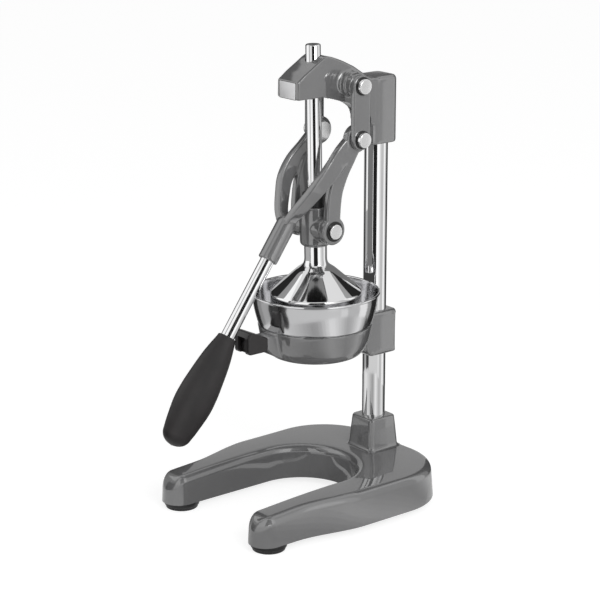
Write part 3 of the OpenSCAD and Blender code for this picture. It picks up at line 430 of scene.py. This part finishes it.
dress(base, grey_paint, "frame", "paint", "base_casting")


# Feet
# Four black rubber feet with a step, each held by a screw up through its middle into a boss of the base.
# They are moulded alike, so one turned shape is set on the four places by one node tree.
def spun(name, outline, steps, put, sharp=30):
    """Turns an outline of radii and heights about an axis, and lets put say where each point comes to lie."""
    count = len(outline)
    points, faces = [], []
    for i in range(steps):
        a = 2 * math.pi * i / steps
        points += [put(r * math.cos(a), r * math.sin(a), h) for r, h in outline]
    for i in range(steps):
        for j in range(count - 1):
            a, b = i * count + j, (i + 1) % steps * count + j
            faces.append((a, b, b + 1, a + 1))
    if outline[0][0] > 1e-6:
        for i in range(steps):
            a, b = i * count, (i + 1) % steps * count
            faces.append((a + count - 1, b + count - 1, b, a))
    return solid_mesh(name, points, faces, sharp)


def turned(name, outline, steps=96, y=0):
    """A turned shape on an upright axis."""
    return spun(name, outline, steps, lambda px, py, h: (px, py + y, h))


foot_outline = ([(5.3, 0.0), (15.4, 0.0)] + bow((15.4, 0.9), 0.9, -90, 0, 4) + [(16.3, 2.9), (16.6, 3.2)]
                + bow((17.0, 4.0), 0.8, -90, 0, 4) + [(17.8, 6.6)] + bow((17.1, 6.8), 0.7, 0, 90, 4)
                + [(2.6, 7.5), (2.6, 3.8), (5.3, 3.8)])
one_foot = turned("one_foot", foot_outline, 72)
rubber = finish_of("black_rubber", (0.016, 0.016, 0.017), (0.010, 0.010, 0.010), 0.42, 0.08, bump=0.2,
                   patch_scale=120, grain_scale=1600)


def set_around(name, piece, places, material):
    """Sets a piece on points by a node tree, each with its own turn in degrees."""
    tree = bpy.data.node_groups.new(name + "_tree", "GeometryNodeTree")
    tree.interface.new_socket(name="Geometry", in_out="INPUT", socket_type="NodeSocketGeometry")
    part_in = tree.interface.new_socket(name="Piece", in_out="INPUT", socket_type="NodeSocketObject")
    coat_in = tree.interface.new_socket(name="Finish", in_out="INPUT", socket_type="NodeSocketMaterial")
    tree.interface.new_socket(name="Geometry", in_out="OUTPUT", socket_type="NodeSocketGeometry")
    inlet, outlet = tree.nodes.new("NodeGroupInput"), tree.nodes.new("NodeGroupOutput")
    held = tree.nodes.new("GeometryNodeObjectInfo")
    held.transform_space = "ORIGINAL"
    turn = tree.nodes.new("GeometryNodeInputNamedAttribute")
    turn.data_type = "FLOAT_VECTOR"
    turn.inputs["Name"].default_value = "turn"
    spread = tree.nodes.new("GeometryNodeInstanceOnPoints")
    real = tree.nodes.new("GeometryNodeRealizeInstances")
    paint = tree.nodes.new("GeometryNodeSetMaterial")
    tree.links.new(inlet.outputs["Piece"], held.inputs["Object"])
    tree.links.new(inlet.outputs["Geometry"], spread.inputs["Points"])
    tree.links.new(held.outputs["Geometry"], spread.inputs["Instance"])
    tree.links.new(turn.outputs["Attribute"], spread.inputs["Rotation"])
    tree.links.new(spread.outputs[0], real.inputs[0])
    tree.links.new(real.outputs[0], paint.inputs["Geometry"])
    tree.links.new(inlet.outputs["Finish"], paint.inputs["Material"])
    tree.links.new(paint.outputs[0], outlet.inputs[0])
    mesh = bpy.data.meshes.new(name + "_places")
    mesh.from_pydata([(x / 1000, y / 1000, z / 1000) for (x, y, z), _ in places], [], [])
    facing = mesh.attributes.new("turn", "FLOAT_VECTOR", "POINT")
    facing.data.foreach_set("vector", [math.radians(v) for _, t in places for v in t])
    seed = placed(name + "_places", mesh)
    maker = seed.modifiers.new("set_around", "NODES")
    maker.node_group = tree
    maker[part_in.identifier] = piece
    maker[coat_in.identifier] = material
    made = bpy.data.meshes.new_from_object(seed.evaluated_get(bpy.context.evaluated_depsgraph_get()))
    made.name = name
    bpy.data.objects.remove(seed)
    bpy.data.objects.remove(piece)
    return placed(name, made)


foot_places = [(-71.5, -116.7), (71.5, -116.7), (-65, 73), (65, 73)]
feet = set_around("rubber_feet", one_foot, [((x, y, 0), (0, 0, 0)) for x, y in foot_places], rubber)
dress(feet, rubber, "frame", "rubber", "foot_front_left", "foot_front_right", "foot_rear_left",
      "foot_rear_right")

steel = finish_of("plain_steel", (0.55, 0.56, 0.57), (0.42, 0.43, 0.44), 0.28, 0.08, metal=1.0, bump=0.05,
                  patch_scale=60, grain_scale=1200)


def recoat(node, material):
    """Gives a finish to a CAD node that is shown as it is."""
    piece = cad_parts[node]
    piece.data.materials.clear()
    piece.data.materials.append(material)


for node in ("foot_screws", "post_plug", "base_bolt", "base_washer"):
    recoat(node, steel)


# Post
# A straight chromed steel tube, 24 mm across, that stands in the base and ends inside the head.
# A bolt from below draws it down by a threaded plug.
chrome = finish_of("polished_chrome", (0.93, 0.93, 0.935), (0.88, 0.88, 0.885), 0.045, 0.02, metal=1.0,
                   patch_scale=25, grain_scale=1500)
post_r, post_bore, post_foot, post_end = 12, 10, 21, 427
post_outline = [(post_bore, post_foot), (post_r, post_foot), (post_r, post_end), (post_bore, post_end)]
post = turned("chrome_post", post_outline, 128, post_y)
dress(post, chrome, "frame", "chrome", "post_tube")


# Head
# The cast head clamps the post in a square block. Its arm reaches forward over the press rod and ends
# in a square nose, and a flared boss on each side carries the upper pivots. Painted like the base.
def smooth_curve(points, per_span):
    """A smooth line through all its points."""
    line = []
    last = len(points) - 1
    for i in range(last):
        a, b, c, d = points[max(i - 1, 0)], points[i], points[i + 1], points[min(i + 2, last)]
        for k in range(per_span):
            u = k / per_span
            line.append(tuple(0.5 * (2 * q + (r - p) * u + (2 * p - 5 * q + 4 * r - t) * u * u
                                     + (3 * q - p - 3 * r + t) * u ** 3) for p, q, r, t in zip(a, b, c, d)))
    return line + [tuple(points[-1])]


def slab(name, outline, half, edge_of):
    """A flat outline in Y and Z made into a slab across X, each point with its own edge rounding."""
    inward = []
    for i in range(len(outline)):
        a, b = outline[i - 1], outline[(i + 1) % len(outline)]
        dy, dz = b[0] - a[0], b[1] - a[1]
        long = math.hypot(dy, dz) or 1
        inward.append((dz / long, -dy / long))
    edges = [edge_of(p) for p in outline]
    edge_step = 15
    turns = [(-1, g) for g in range(90, -1, -edge_step)] + [(1, g) for g in range(0, 91, edge_step)]
    rings = []
    for side, turn in turns:
        g = math.radians(turn)
        rings.append([(side * (half - e + e * math.sin(g)), p[0] + n[0] * e * (1 - math.cos(g)),
                       p[1] + n[1] * e * (1 - math.cos(g))) for p, n, e in zip(outline, inward, edges)])
    return loft(name, rings)


def turned_across(name, outline, steps, pivot):
    """A turned shape on an axis across the press."""
    return spun(name, outline, steps, lambda py, pz, h: (h, py + pivot[0], pz + pivot[1]))


head_half, upper_pivot = 16, (27.6, 431.6)
block_half_y, block_y, block_corner = 18.1, 76.9, 7.5
crest = smooth_curve([(-35, 438.6), (-31.4, 441), (-25.2, 445.5), (-19, 449.3), (-12.8, 453), (-7, 456.6),
                      (-3.2, 458.7), (0, 460), (4.6, 459.9), (11, 458.2), (17.3, 455.8), (23.7, 453.2),
                      (30.1, 450.1), (36.5, 447), (43, 442.8), (49.5, 438.7), (54, 436), (57.4, 434.3),
                      (61, 433.3)], 3)
throat = smooth_curve([(58.8, 386), (58.8, 390), (58, 394.5), (55.6, 399.5), (51.3, 403.6), (44.8, 407.4),
                       (38.2, 409.8), (31.8, 411.6), (24, 413.7), (17.6, 415.5), (11.3, 417.4), (4.9, 419.2),
                       (-2, 420.4), (-8, 420.8)], 3)
arm_outline = [(-35, 422.6)] + crest + [(70, 432), (70, 386)] + throat + [(-33.3, 420.8), (-34.5, 421.3)]
arm = slab("head_arm", arm_outline, head_half, lambda p: 1.2 if p[1] < 429 else 2.2)
block_rings = []
for inset, z in ((2.2, 365), (1.1, 365.3), (0.3, 366), (0, 367.2), (0, 428.4), (0.25, 430.1), (1.0, 431.7),
                 (2.3, 432.9), (3.9, 433.4), (5.2, 433.5)):
    block_rings.append(square_ring(head_half - inset, block_half_y - inset, max(block_corner - inset, 2),
                                   block_y, z, 8))
block = loft("head_block", block_rings)
flare = ([(0, -3), (15.6, -3)] + bow((15.5, 4.5), 4.5, -90, -180, 8)
         + [(11, 4.8), (12.6, 5.4), (12.6, 8.2), (11, 8.8), (11, 15.0)]
         + bow((10.2, 15.4), 0.8, 0, 90, 3) + [(0, 16.2)])
flares = []
for label, side in (("right", 1), ("left", -1)):
    outline = [(r, side * (head_half + h)) for r, h in flare]
    flares.append(turned_across("head_boss_" + label, outline, 64, upper_pivot))


def cast(pieces, name, grain, passes, cutters=()):
    """Fuses overlapping solids into one casting with soft edges and fillets, then bores it."""
    whole = joined(pieces, name)
    fuse = whole.modifiers.new("fuse", "REMESH")
    fuse.mode = "VOXEL"
    fuse.voxel_size = grain / 1000
    fuse.use_smooth_shade = True
    ease = whole.modifiers.new("ease", "SMOOTH")
    ease.factor = 0.5
    ease.iterations = passes
    if cutters:
        tool = joined(list(cutters), name + "_bores")
        bore = whole.modifiers.new("bore", "BOOLEAN")
        bore.operation = "DIFFERENCE"
        bore.solver = "EXACT"
        bore.object = tool
    made = bpy.data.meshes.new_from_object(whole.evaluated_get(bpy.context.evaluated_depsgraph_get()))
    made.name = name
    bpy.data.objects.remove(whole)
    if cutters:
        bpy.data.objects.remove(tool)
    smooth(made, 40)
    return placed(name, made)


def bore_down(name, r, low, high, y):
    """A cutter for an upright bore."""
    return turned(name, [(0, low), (r, low), (r, high), (0, high)], 64, y)


def screw_bore(name, z):
    """A cutter for the thread of a set screw, from the back through to the post."""
    r, steps = 3.05, 48
    turns = [2 * math.pi * i / steps for i in range(steps)]
    circle = [(r * math.cos(a), r * math.sin(a)) for a in turns]
    return loft(name, [[(px, y, z + pz) for px, pz in circle] for y in (91, 99)])


head_screws, guide_y = (383, 415.5), -2.3
head = cast([arm, block, *flares], "painted_head", 0.75, 6,
            [bore_down("guide_bore", 8.6, 438, 475, guide_y),
             bore_down("bush_bore", 10.85, 415, 452.2, guide_y),
             screw_bore("screw_bore_low", head_screws[0]),
             screw_bore("screw_bore_high", head_screws[1])])
dress(head, grey_paint, "frame", "paint", "head_casting")
bronze = finish_of("sintered_bronze", (0.42, 0.27, 0.12), (0.30, 0.18, 0.08), 0.4, 0.1, metal=1.0, bump=0.1,
                   patch_scale=200, grain_scale=2400)
recoat("guide_bush_upper", bronze)
recoat("guide_bush_lower", bronze)


# Set screws
# Two hexagon socket screws in the back of the head and two in the back of the bracket hold them on the post.
# All four are one turned screw with a broached socket, set on their places as the feet are.
bracket_screws = (156, 178.8)
head_screw_y, bracket_screw_y = 91.05, 91.85
screw_steps, screw_corner, hexagon = 36, 1.73, math.pi / 3
screw_turns = [2 * math.pi * i / screw_steps for i in range(screw_steps)]
screw_rings = [[(r * math.cos(a), r * math.sin(a), h) for a in screw_turns]
               for r, h in ((2.2, 0), (3.0, 0.6), (3.0, 2.65), (2.7, 2.95))]
for h in (2.95, 0.9):
    ring = []
    for a in screw_turns:
        r = screw_corner * math.cos(hexagon / 2) / math.cos(a % hexagon - hexagon / 2)
        ring.append((r * math.cos(a), r * math.sin(a), h))
    screw_rings.append(ring)
screw_mesh = bpy.data.meshes.new("one_set_screw")
screw_mesh.from_pydata([(x / 1000, y / 1000, z / 1000) for ring in screw_rings for x, y, z in ring], [],
                       skin_faces(len(screw_rings), screw_steps))
smooth(screw_mesh)
one_screw = placed("one_set_screw", screw_mesh)
screw_places = [((0, y + rod_y * 1000, z), (-90, 0, 0)) for y, heights in
                ((head_screw_y, head_screws), (bracket_screw_y, bracket_screws)) for z in heights]
set_screws = set_around("set_screws", one_screw, screw_places, steel)
dress(set_screws, steel, "frame", "hardware_steel", "head_set_screws", "bracket_set_screws")


# Nose plate
# A small brushed metal plate is let into the nose of the head and left bare.
# It is cut square with barely rounded corners, and the film that holds it shows as a thin black line.
plate_half_x, plate_half_z, plate_z = 12, 8, 429.5
film_half_x, film_half_z = 12.55, 8.5


def square_ring_up(half_x, half_z, r, y, z):
    """An upright rectangle with round corners, seen from the front."""
    return [(px, y, pz + z) for px, pz, _ in square_ring(half_x, half_z, r, 0, 0, 4)]


bush_black = finish_of("black_bush", (0.014, 0.014, 0.014), (0.009, 0.009, 0.009), 0.3, 0.06, bump=0.05,
                       patch_scale=150, grain_scale=1800)
plate_rings = [square_ring_up(plate_half_x - inset, plate_half_z - inset, 0.8, y, plate_z) for inset, y in
               ((0.35, -34.5), (0.0, -34.7), (0.0, -35.2), (0.25, -35.4))]
plate = loft("nose_label_plate", plate_rings)
plate_metal = finish_of("plate_metal", (0.86, 0.86, 0.87), (0.79, 0.79, 0.80), 0.42, 0.06, metal=0.25,
                        bump=0.05, patch_scale=90, grain_scale=1500)
dress(plate, plate_metal, "frame", "hardware_steel", "nose_plate")
film_rings = [square_ring_up(film_half_x, film_half_z, 1.2, y, plate_z) for y in (-34.6, -35.12)]
film = loft("plate_adhesive_film", film_rings)
dress(film, bush_black, "frame", "rubber")


# Links
# Two flat cast links with round ends hang beside the head and carry the lever's middle pivots.
# Their edges are rounded and they are painted like the head.
middle_pivot, link_r = (27.6, 378.8), 10.6
for side, node in ((-1, "left_link"), (1, "right_link")):
    rings = []
    for inset, x in ((0.9, 32.6), (0.4, 32.75), (0.1, 33.1), (0, 33.7), (0, 36.8), (0.15, 37.35),
                     (0.55, 37.85), (1.1, 38.12), (1.7, 38.2)):
        r = link_r - inset
        outline = bow(upper_pivot, r, 0, 180, 28) + bow(middle_pivot, r, 180, 360, 28)
        rings.append([(side * x, y, z) for y, z in outline])
    link = loft("painted_" + node, rings, 50)
    dress(link, grey_paint, "links", "paint", node)


# Pivots
# Chromed pins with broad flat heads, and black bushes whose flanges stand out round the heads.
# The upper pin goes right through the head; the others are fixed in the fork and in the collar.
lower_pivot = (0, 289.5)
pin_r, pin_end, pin_head_r = 5, 18, 7.5
bush_bore, bush_r = 5.06, 7


def pivot_parts(name, body, slot, material, pivot, outline, nodes):
    """Two turned pieces on a pivot's axis, one on each side of the press."""
    halves = [turned_across(name + str(side), [(r, side * h) for r, h in outline], 72, pivot)
              for side in (-1, 1)]
    piece = joined(halves, name)
    smooth(piece.data)
    dress(piece, material, body, slot, *nodes)


def head_outline(start, thick):
    """A pin and its head, which starts at a distance from the middle of the press."""
    edge = bow((pin_head_r - 1, start + thick - 1), 1, 0, 90, 5)
    return ([(0, pin_end), (pin_r, pin_end), (pin_r, start), (pin_head_r - 0.2, start),
             (pin_head_r, start + 0.2), (pin_head_r, start + thick - 1)] + edge + [(0, start + thick)])


def flange_outline(x0, x1, flange):
    """A bush from one face of an eye to the other, with a flange outside."""
    return [(bush_bore, x0), (bush_r, x0), (bush_r, x1), (flange - 0.3, x1), (flange, x1 + 0.25),
            (flange, x1 + 0.8), (flange - 0.25, x1 + 1), (bush_bore, x1 + 1)]


pin_chrome = finish_of("pin_chrome", (0.99, 0.99, 0.99), (0.95, 0.95, 0.95), 0.24, 0.03, metal=1.0, bump=0.01,
                       patch_scale=40, grain_scale=400)
pivot_parts("upper_pin_heads", "frame", "chrome", pin_chrome, upper_pivot, head_outline(39.5, 4.2),
            ("upper_pivot_pin", "upper_pin_cap"))
inner_head = [(0, 20.2), (9.2, 20.2), (9.75, 20.7), (9.75, 23.2), (pin_r, 23.2)]
pivot_parts("middle_pin_heads", "lever", "chrome", pin_chrome, middle_pivot,
            inner_head + head_outline(39.5, 4.2)[2:],
            ("middle_pin_left", "middle_pin_right", "middle_pin_caps"))
pivot_parts("lower_pin_heads", "plunger", "chrome", pin_chrome, lower_pivot, head_outline(30.8, 2.3),
            ("lower_pin_left", "lower_pin_right"))
pivot_parts("upper_bush_flanges", "links", "rubber", bush_black, upper_pivot,
            flange_outline(32.6, 38.2, 9.0), ("link_bushes_upper",))
pivot_parts("middle_bush_flanges", "links", "rubber", bush_black, middle_pivot,
            flange_outline(32.6, 38.2, 9.0), ("link_bushes_middle",))
pivot_parts("lower_bush_flanges", "lever", "rubber", bush_black, lower_pivot,
            flange_outline(21.5, 29.5, 10.0), ("fork_bushes",))


# Fork
# One painted casting. From the socket of the handle two cheeks bow out round the press rod. They end in
# eyes at the middle pivots, between the links, and send a short arm down to the eyes beside the collar.
handle_a = math.radians(35.9)
handle_offset = 4.5
socket_start, socket_end, socket_r = 104.5, 144.5, 9.9
middle_y, middle_z = middle_pivot
lower_z = lower_pivot[1]


def on_handle(s):
    """The point on the handle's axis at a distance from the middle pivots."""
    return (0, middle_y - s * math.sin(handle_a) - handle_offset * math.cos(handle_a),
            middle_z - s * math.cos(handle_a) + handle_offset * math.sin(handle_a))


def along_handle(name, outline, steps=96, sharp=30):
    """A turned shape on the handle's axis, from radii and distances from the middle pivots."""
    def put(x, y, s):
        centre = on_handle(s)
        return (x, centre[1] + y * math.cos(handle_a), centre[2] - y * math.sin(handle_a))
    return spun(name, outline, steps, put, sharp)


cheek_top, cheek_low = 28.2, 25.5
bar_half, bar_corner, bar_straight = 4, 1.8, 0.15
fork_end = on_handle(socket_start)
arm_shares = [(1, 0, 0), (0.97, 0.25, 0.175), (1.04, 0.49, 0.345), (0.94, 0.69, 0.52), (0.69, 0.83, 0.69),
              (0.4, 0.95, 0.85), (0.14, 1, 0.97)]
leg_shares = [(0, 0, 0), (0.2, 0.35, 0.19), (0.62, 0.65, 0.36), (0.95, 0.88, 0.55), (1, 0.97, 0.72),
              (1, 1, 0.87), (1, 1, 1)]
fork_parts = []
for side in (-1, 1):
    arm_line = [(side * a * cheek_top, middle_y + b * (fork_end[1] - middle_y),
                 middle_z + c * (fork_end[2] - middle_z)) for a, b, c in arm_shares]
    leg_line = [(side * (cheek_top + a * (cheek_low - cheek_top)), middle_y * (1 - b),
                 middle_z - c * (middle_z - lower_z)) for a, b, c in leg_shares]
    for label, line, wide_top, wide_end in (("arm", arm_line, 20, 12), ("leg", leg_line, 17, 17)):
        path = [Vector(p) for p in smooth_curve(line, 5)]
        last = len(path) - 1
        rings = []
        for i, p in enumerate(path):
            share = max(i / last - bar_straight, 0) / (1 - bar_straight)
            wide = wide_top + (wide_end - wide_top) * share
            d = (path[min(i + 1, last)] - path[max(i - 1, 0)]).normalized()
            n = Vector((0, -d.z, d.y)).normalized()
            b = d.cross(n)
            rings.append([tuple(p + n * px + b * py)
                          for px, py, _ in square_ring(wide / 2, bar_half, bar_corner, 0, 0, 4)])
        fork_parts.append(loft("fork_%s_%d" % (label, side), rings))
    for label, pivot, r, x0, x1 in (("eye_top", middle_pivot, 14, 24.2, 32.2),
                                    ("eye_boss", middle_pivot, 13, 23.2, 30),
                                    ("eye_low", lower_pivot, 14, 21.5, 29.5)):
        eye = [(0, x0), (r - 1.2, x0), (r, x0 + 1.2), (r, x1 - 1.2), (r - 1.2, x1), (0, x1)]
        eye = [(q, side * x) for q, x in eye]
        fork_parts.append(turned_across("fork_%s_%d" % (label, side), eye, 64, pivot))
socket = ([(0, socket_start - socket_r)]
          + [(socket_r * math.cos(math.radians(g)), socket_start - socket_r * math.sin(math.radians(g)))
             for g in range(80, -1, -10)]
          + [(socket_r, socket_end - 0.8), (socket_r - 0.8, socket_end), (0, socket_end)])
fork_parts.append(along_handle("fork_socket", socket))
fork = cast(fork_parts, "painted_fork", 0.7, 6,
            [along_handle("tube_bore", [(0, 139), (7.35, 139), (7.35, 150), (0, 150)])])
dress(fork, grey_paint, "lever", "paint", "lever_fork")


# Handle
# A chromed tube is pushed into the socket of the fork and held by a screw.
# A long black moulded grip, thick in the middle and round at its end, covers its lower third.
tube_r, tube_bore, tube_start, tube_end = 7, 5.5, 112.6, 326.9
grip_start, grip_long, grip_r, grip_bore, bore_end = 229, 118, 19.4, 7.05, 240
tube_outline = [(tube_bore, tube_start), (tube_r, tube_start), (tube_r, tube_end), (tube_bore, tube_end)]
tube = along_handle("handle_tube_chrome", tube_outline)
dress(tube, chrome, "lever", "chrome", "handle_tube")
recoat("socket_screw", steel)
grip_shares = [(0.03, 0.51), (0.1, 0.62), (0.178, 0.727), (0.25, 0.8), (0.33, 0.866), (0.41, 0.923),
               (0.475, 0.966), (0.54, 0.99), (0.6, 1), (0.665, 0.978), (0.729, 0.928), (0.79, 0.873),
               (0.839, 0.825), (0.89, 0.76), (0.924, 0.711), (0.955, 0.6), (0.975, 0.464), (0.99, 0.28),
               (1, 0)]
grip_line = smooth_curve([(grip_r * b, grip_start + grip_long * a) for a, b in grip_shares], 3)
grip_outline = [(0, bore_end), (grip_bore, bore_end), (grip_bore, grip_start + 0.6), (7.6, grip_start),
                (8.6, grip_start), (9.4, grip_start + 0.5)] + [(max(r, 0), s) for r, s in grip_line]
grip_black = finish_of("grip_black", (0.017, 0.014, 0.0145), (0.010, 0.0085, 0.009), 0.5, 0.06, bump=0.25,
                       patch_scale=60, grain_scale=1500)
grip = along_handle("moulded_grip", grip_outline, 128, 40)
dress(grip, grip_black, "lever", "grip", "handle_grip")


# Press rod and collar
# A polished rod slides in the head. A painted collar with a stub on each side carries the lower pivots,
# and a black rubber buffer sits on the collar. All of it leans about one degree forward in its guides.
lean_turn = 1.05
lean_axis = Matrix.Translation((0, rod_y, lower_z / 1000))
lean = lean_axis @ Matrix.Rotation(math.radians(lean_turn), 4, "X") @ lean_axis.inverted()


def dress_plunger(piece, material, slot, node):
    """Leans a piece with the rod, then dresses it."""
    piece.data.transform(lean)
    dress(piece, material, "plunger", slot, node)


rod_r, rod_low, rod_end = 7.5, 250, 471
rod_outline = [(0, rod_low), (rod_r, rod_low), (rod_r, rod_end - 1), (rod_r - 0.3, rod_end - 0.4),
               (rod_r - 0.9, rod_end), (0, rod_end)]
rod = turned("chrome_press_rod", rod_outline, 128)
dress_plunger(rod, chrome, "chrome", "press_rod")
collar_body = turned("collar_body", [(0, 270.5), (11.2, 270.5)] + bow((11.5, 274.5), 4.0, -90, 0, 6)
                     + [(15.5, 309.8), (14.3, 311), (0, 311)])
stub_outline = [(0, -21.1), (12.2, -21.1), (13, -20.3), (13, 20.3), (12.2, 21.1), (0, 21.1)]
stub = turned_across("collar_stub", stub_outline, 72, lower_pivot)
collar = cast([collar_body, stub], "painted_collar", 0.6, 7)
dress_plunger(collar, grey_paint, "paint", "rod_collar")
recoat("collar_screw", steel)
buffer_outline = [(7.55, 311), (12.1, 311), (12.5, 311.5), (12.5, 323.2), (11.7, 324), (7.55, 324)]
buffer = turned("rubber_buffer_ring", buffer_outline)
dress_plunger(buffer, rubber, "rubber", "rubber_buffer")


# Press bell
# A spun and chromed bell: a neck under the collar flares into a cone and ends in a short upright skirt.
# It presses the half fruit down over the strainer cone, and is hollow underneath.
bell_outline = ([(0, 243), (16, 243), (42.4, 221), (43, 220.3), (43, 210.4), (43.4, 210), (45.6, 210),
                 (46, 210.4), (46, 220.8)] + bow((42, 220.86), 4, 0, 46, 8)
                + smooth_curve([(44.6, 223.9), (36, 231.5), (27, 239.5), (20, 245.8), (16.4, 248.4),
                                (13.6, 250.6), (12.0, 253.2), (11.4, 256.5), (11.4, 262)], 4)
                + [(11.4, 270.3), (0, 270.3)])
bell = turned("chrome_press_bell", bell_outline, 160)
dress_plunger(bell, chrome, "chrome", "press_bell")
recoat("bell_screw", steel)


# Bowl
# A pressed stainless bowl with a rolled rim sits in the cup of the bracket and drains through a spout.
# Its outside is satin from the polishing wheel.
bowl_outline = ([(11, 151.6), (11, 166.6), (52.6, 187.5), (52.8, 188), (52.8, 190.4), (53.2, 190.8),
                 (55.4, 190.8), (55.4, 191.75), (57.3, 191.75)]
                + smooth_curve([(57.65, 192.1), (59.0, 196.5), (60.4, 202), (61.6, 207.4), (62.6, 213),
                                (63.4, 218.5), (63.9, 221.4)], 3)
                + bow((63.9, 222.7), 1.3, -90, 90, 8) + [(62.9, 223.6), (62.6, 222.5)]
                + [(62.2, 218.5), (61.4, 213), (60.4, 207.4), (59.2, 202), (57.8, 196.5), (56.2, 192.4),
                   (51.6, 192.0), (51.4, 188.8), (9.8, 167.8), (9.8, 151.6)])
bowl = turned("steel_juice_bowl", bowl_outline, 192)
bowl_satin = finish_of("bowl_satin", (0.80, 0.80, 0.81), (0.75, 0.75, 0.76), 0.12, 0.02, metal=1.0,
                       patch_scale=20, grain_scale=1500)
dress(bowl, bowl_satin, "frame", "bowl_steel", "steel_bowl")
recoat("strainer_cone", bowl_satin)


# Bracket
# One painted casting: a clamp round the post, a shallow cup that holds the bowl, and a lug in front
# that carries the rest for the handle.
cup_r, cup_low, cup_high = 57.8, 158.6, 32.2
cup_shares = [(0.727, 0), (0.78, 0.035), (0.8045, 0.062), (0.85, 0.14), (0.882, 0.228), (0.915, 0.34),
              (0.943, 0.475), (0.963, 0.61), (0.9775, 0.753), (0.99, 0.88), (1, 1)]
cup_line = smooth_curve([(cup_r * a, cup_low + cup_high * b) for a, b in cup_shares], 3)
cup_outline = [(0, cup_low)] + cup_line + [(53.8, 190.8), (53.2, 180), (50.5, 170), (46, 164), (40, 162.6),
                                           (0, 162.6)]
cup = turned("bracket_cup", cup_outline, 160)
clamp_outline = ([(54.5, 189.9), (55.4, 190.8), (94.8, 190.8), (95.8, 189.8), (95.8, 145.5), (94.3, 144)]
                 + bow((67, 156), 12, -90, -180, 10) + [(55, 158), (52, 162.6)])
clamp = slab("bracket_clamp", clamp_outline, 16.8, lambda p: 5.5 if p[0] > 60 else 2.5)
lug_outline = [(-68.8, 177), (-68.8, 189), (-53.6, 189), (-45, 164), (-47, 161.6), (-60, 168.6)]
lug = slab("bracket_lug", lug_outline, 10, lambda p: 1.2)
bracket = cast([cup, clamp, lug], "painted_bracket", 0.85, 5,
               [bore_down("outlet_bore", 13, 150, 170, 0),
                bore_down("clamp_post_bore", 12.05, 140, 200, post_y),
                screw_bore("clamp_bore_low", bracket_screws[0]),
                screw_bore("clamp_bore_high", bracket_screws[1])])
dress(bracket, grey_paint, "frame", "paint", "bowl_bracket")


# Handle rest
# A black moulded block screwed to the lug, where the grip comes to lie.
# A groove down its front holds the screw.
rest_outline = [(-90.3, 175.5), (-92.4, 176.4), (-93.3, 178.5), (-93.3, 192), (-92.9, 193), (-89.6, 197.2),
                (-87.6, 197.5), (-86, 197.2), (-69.3, 189.5), (-69.3, 175.5)]
rest_block = slab("rest_block", rest_outline, 11.5, lambda p: 1.2)
groove_outline = [(-96, 170), (-96, 192.5), (-88.3, 192.5), (-88.3, 170)]
groove_cut = slab("rest_groove", groove_outline, 5.5, lambda p: 0.01)
rest = cast([rest_block], "moulded_handle_rest", 0.5, 4, [groove_cut])
rest_black = finish_of("rest_black", (0.015, 0.0125, 0.013), (0.009, 0.0075, 0.008), 0.3, 0.06, coat=0.12,
                       coat_rough=0.12, bump=0.1, patch_scale=80, grain_scale=700)
dress(rest, rest_black, "frame", "grip", "handle_rest")
recoat("handle_rest_screw", rest_black)
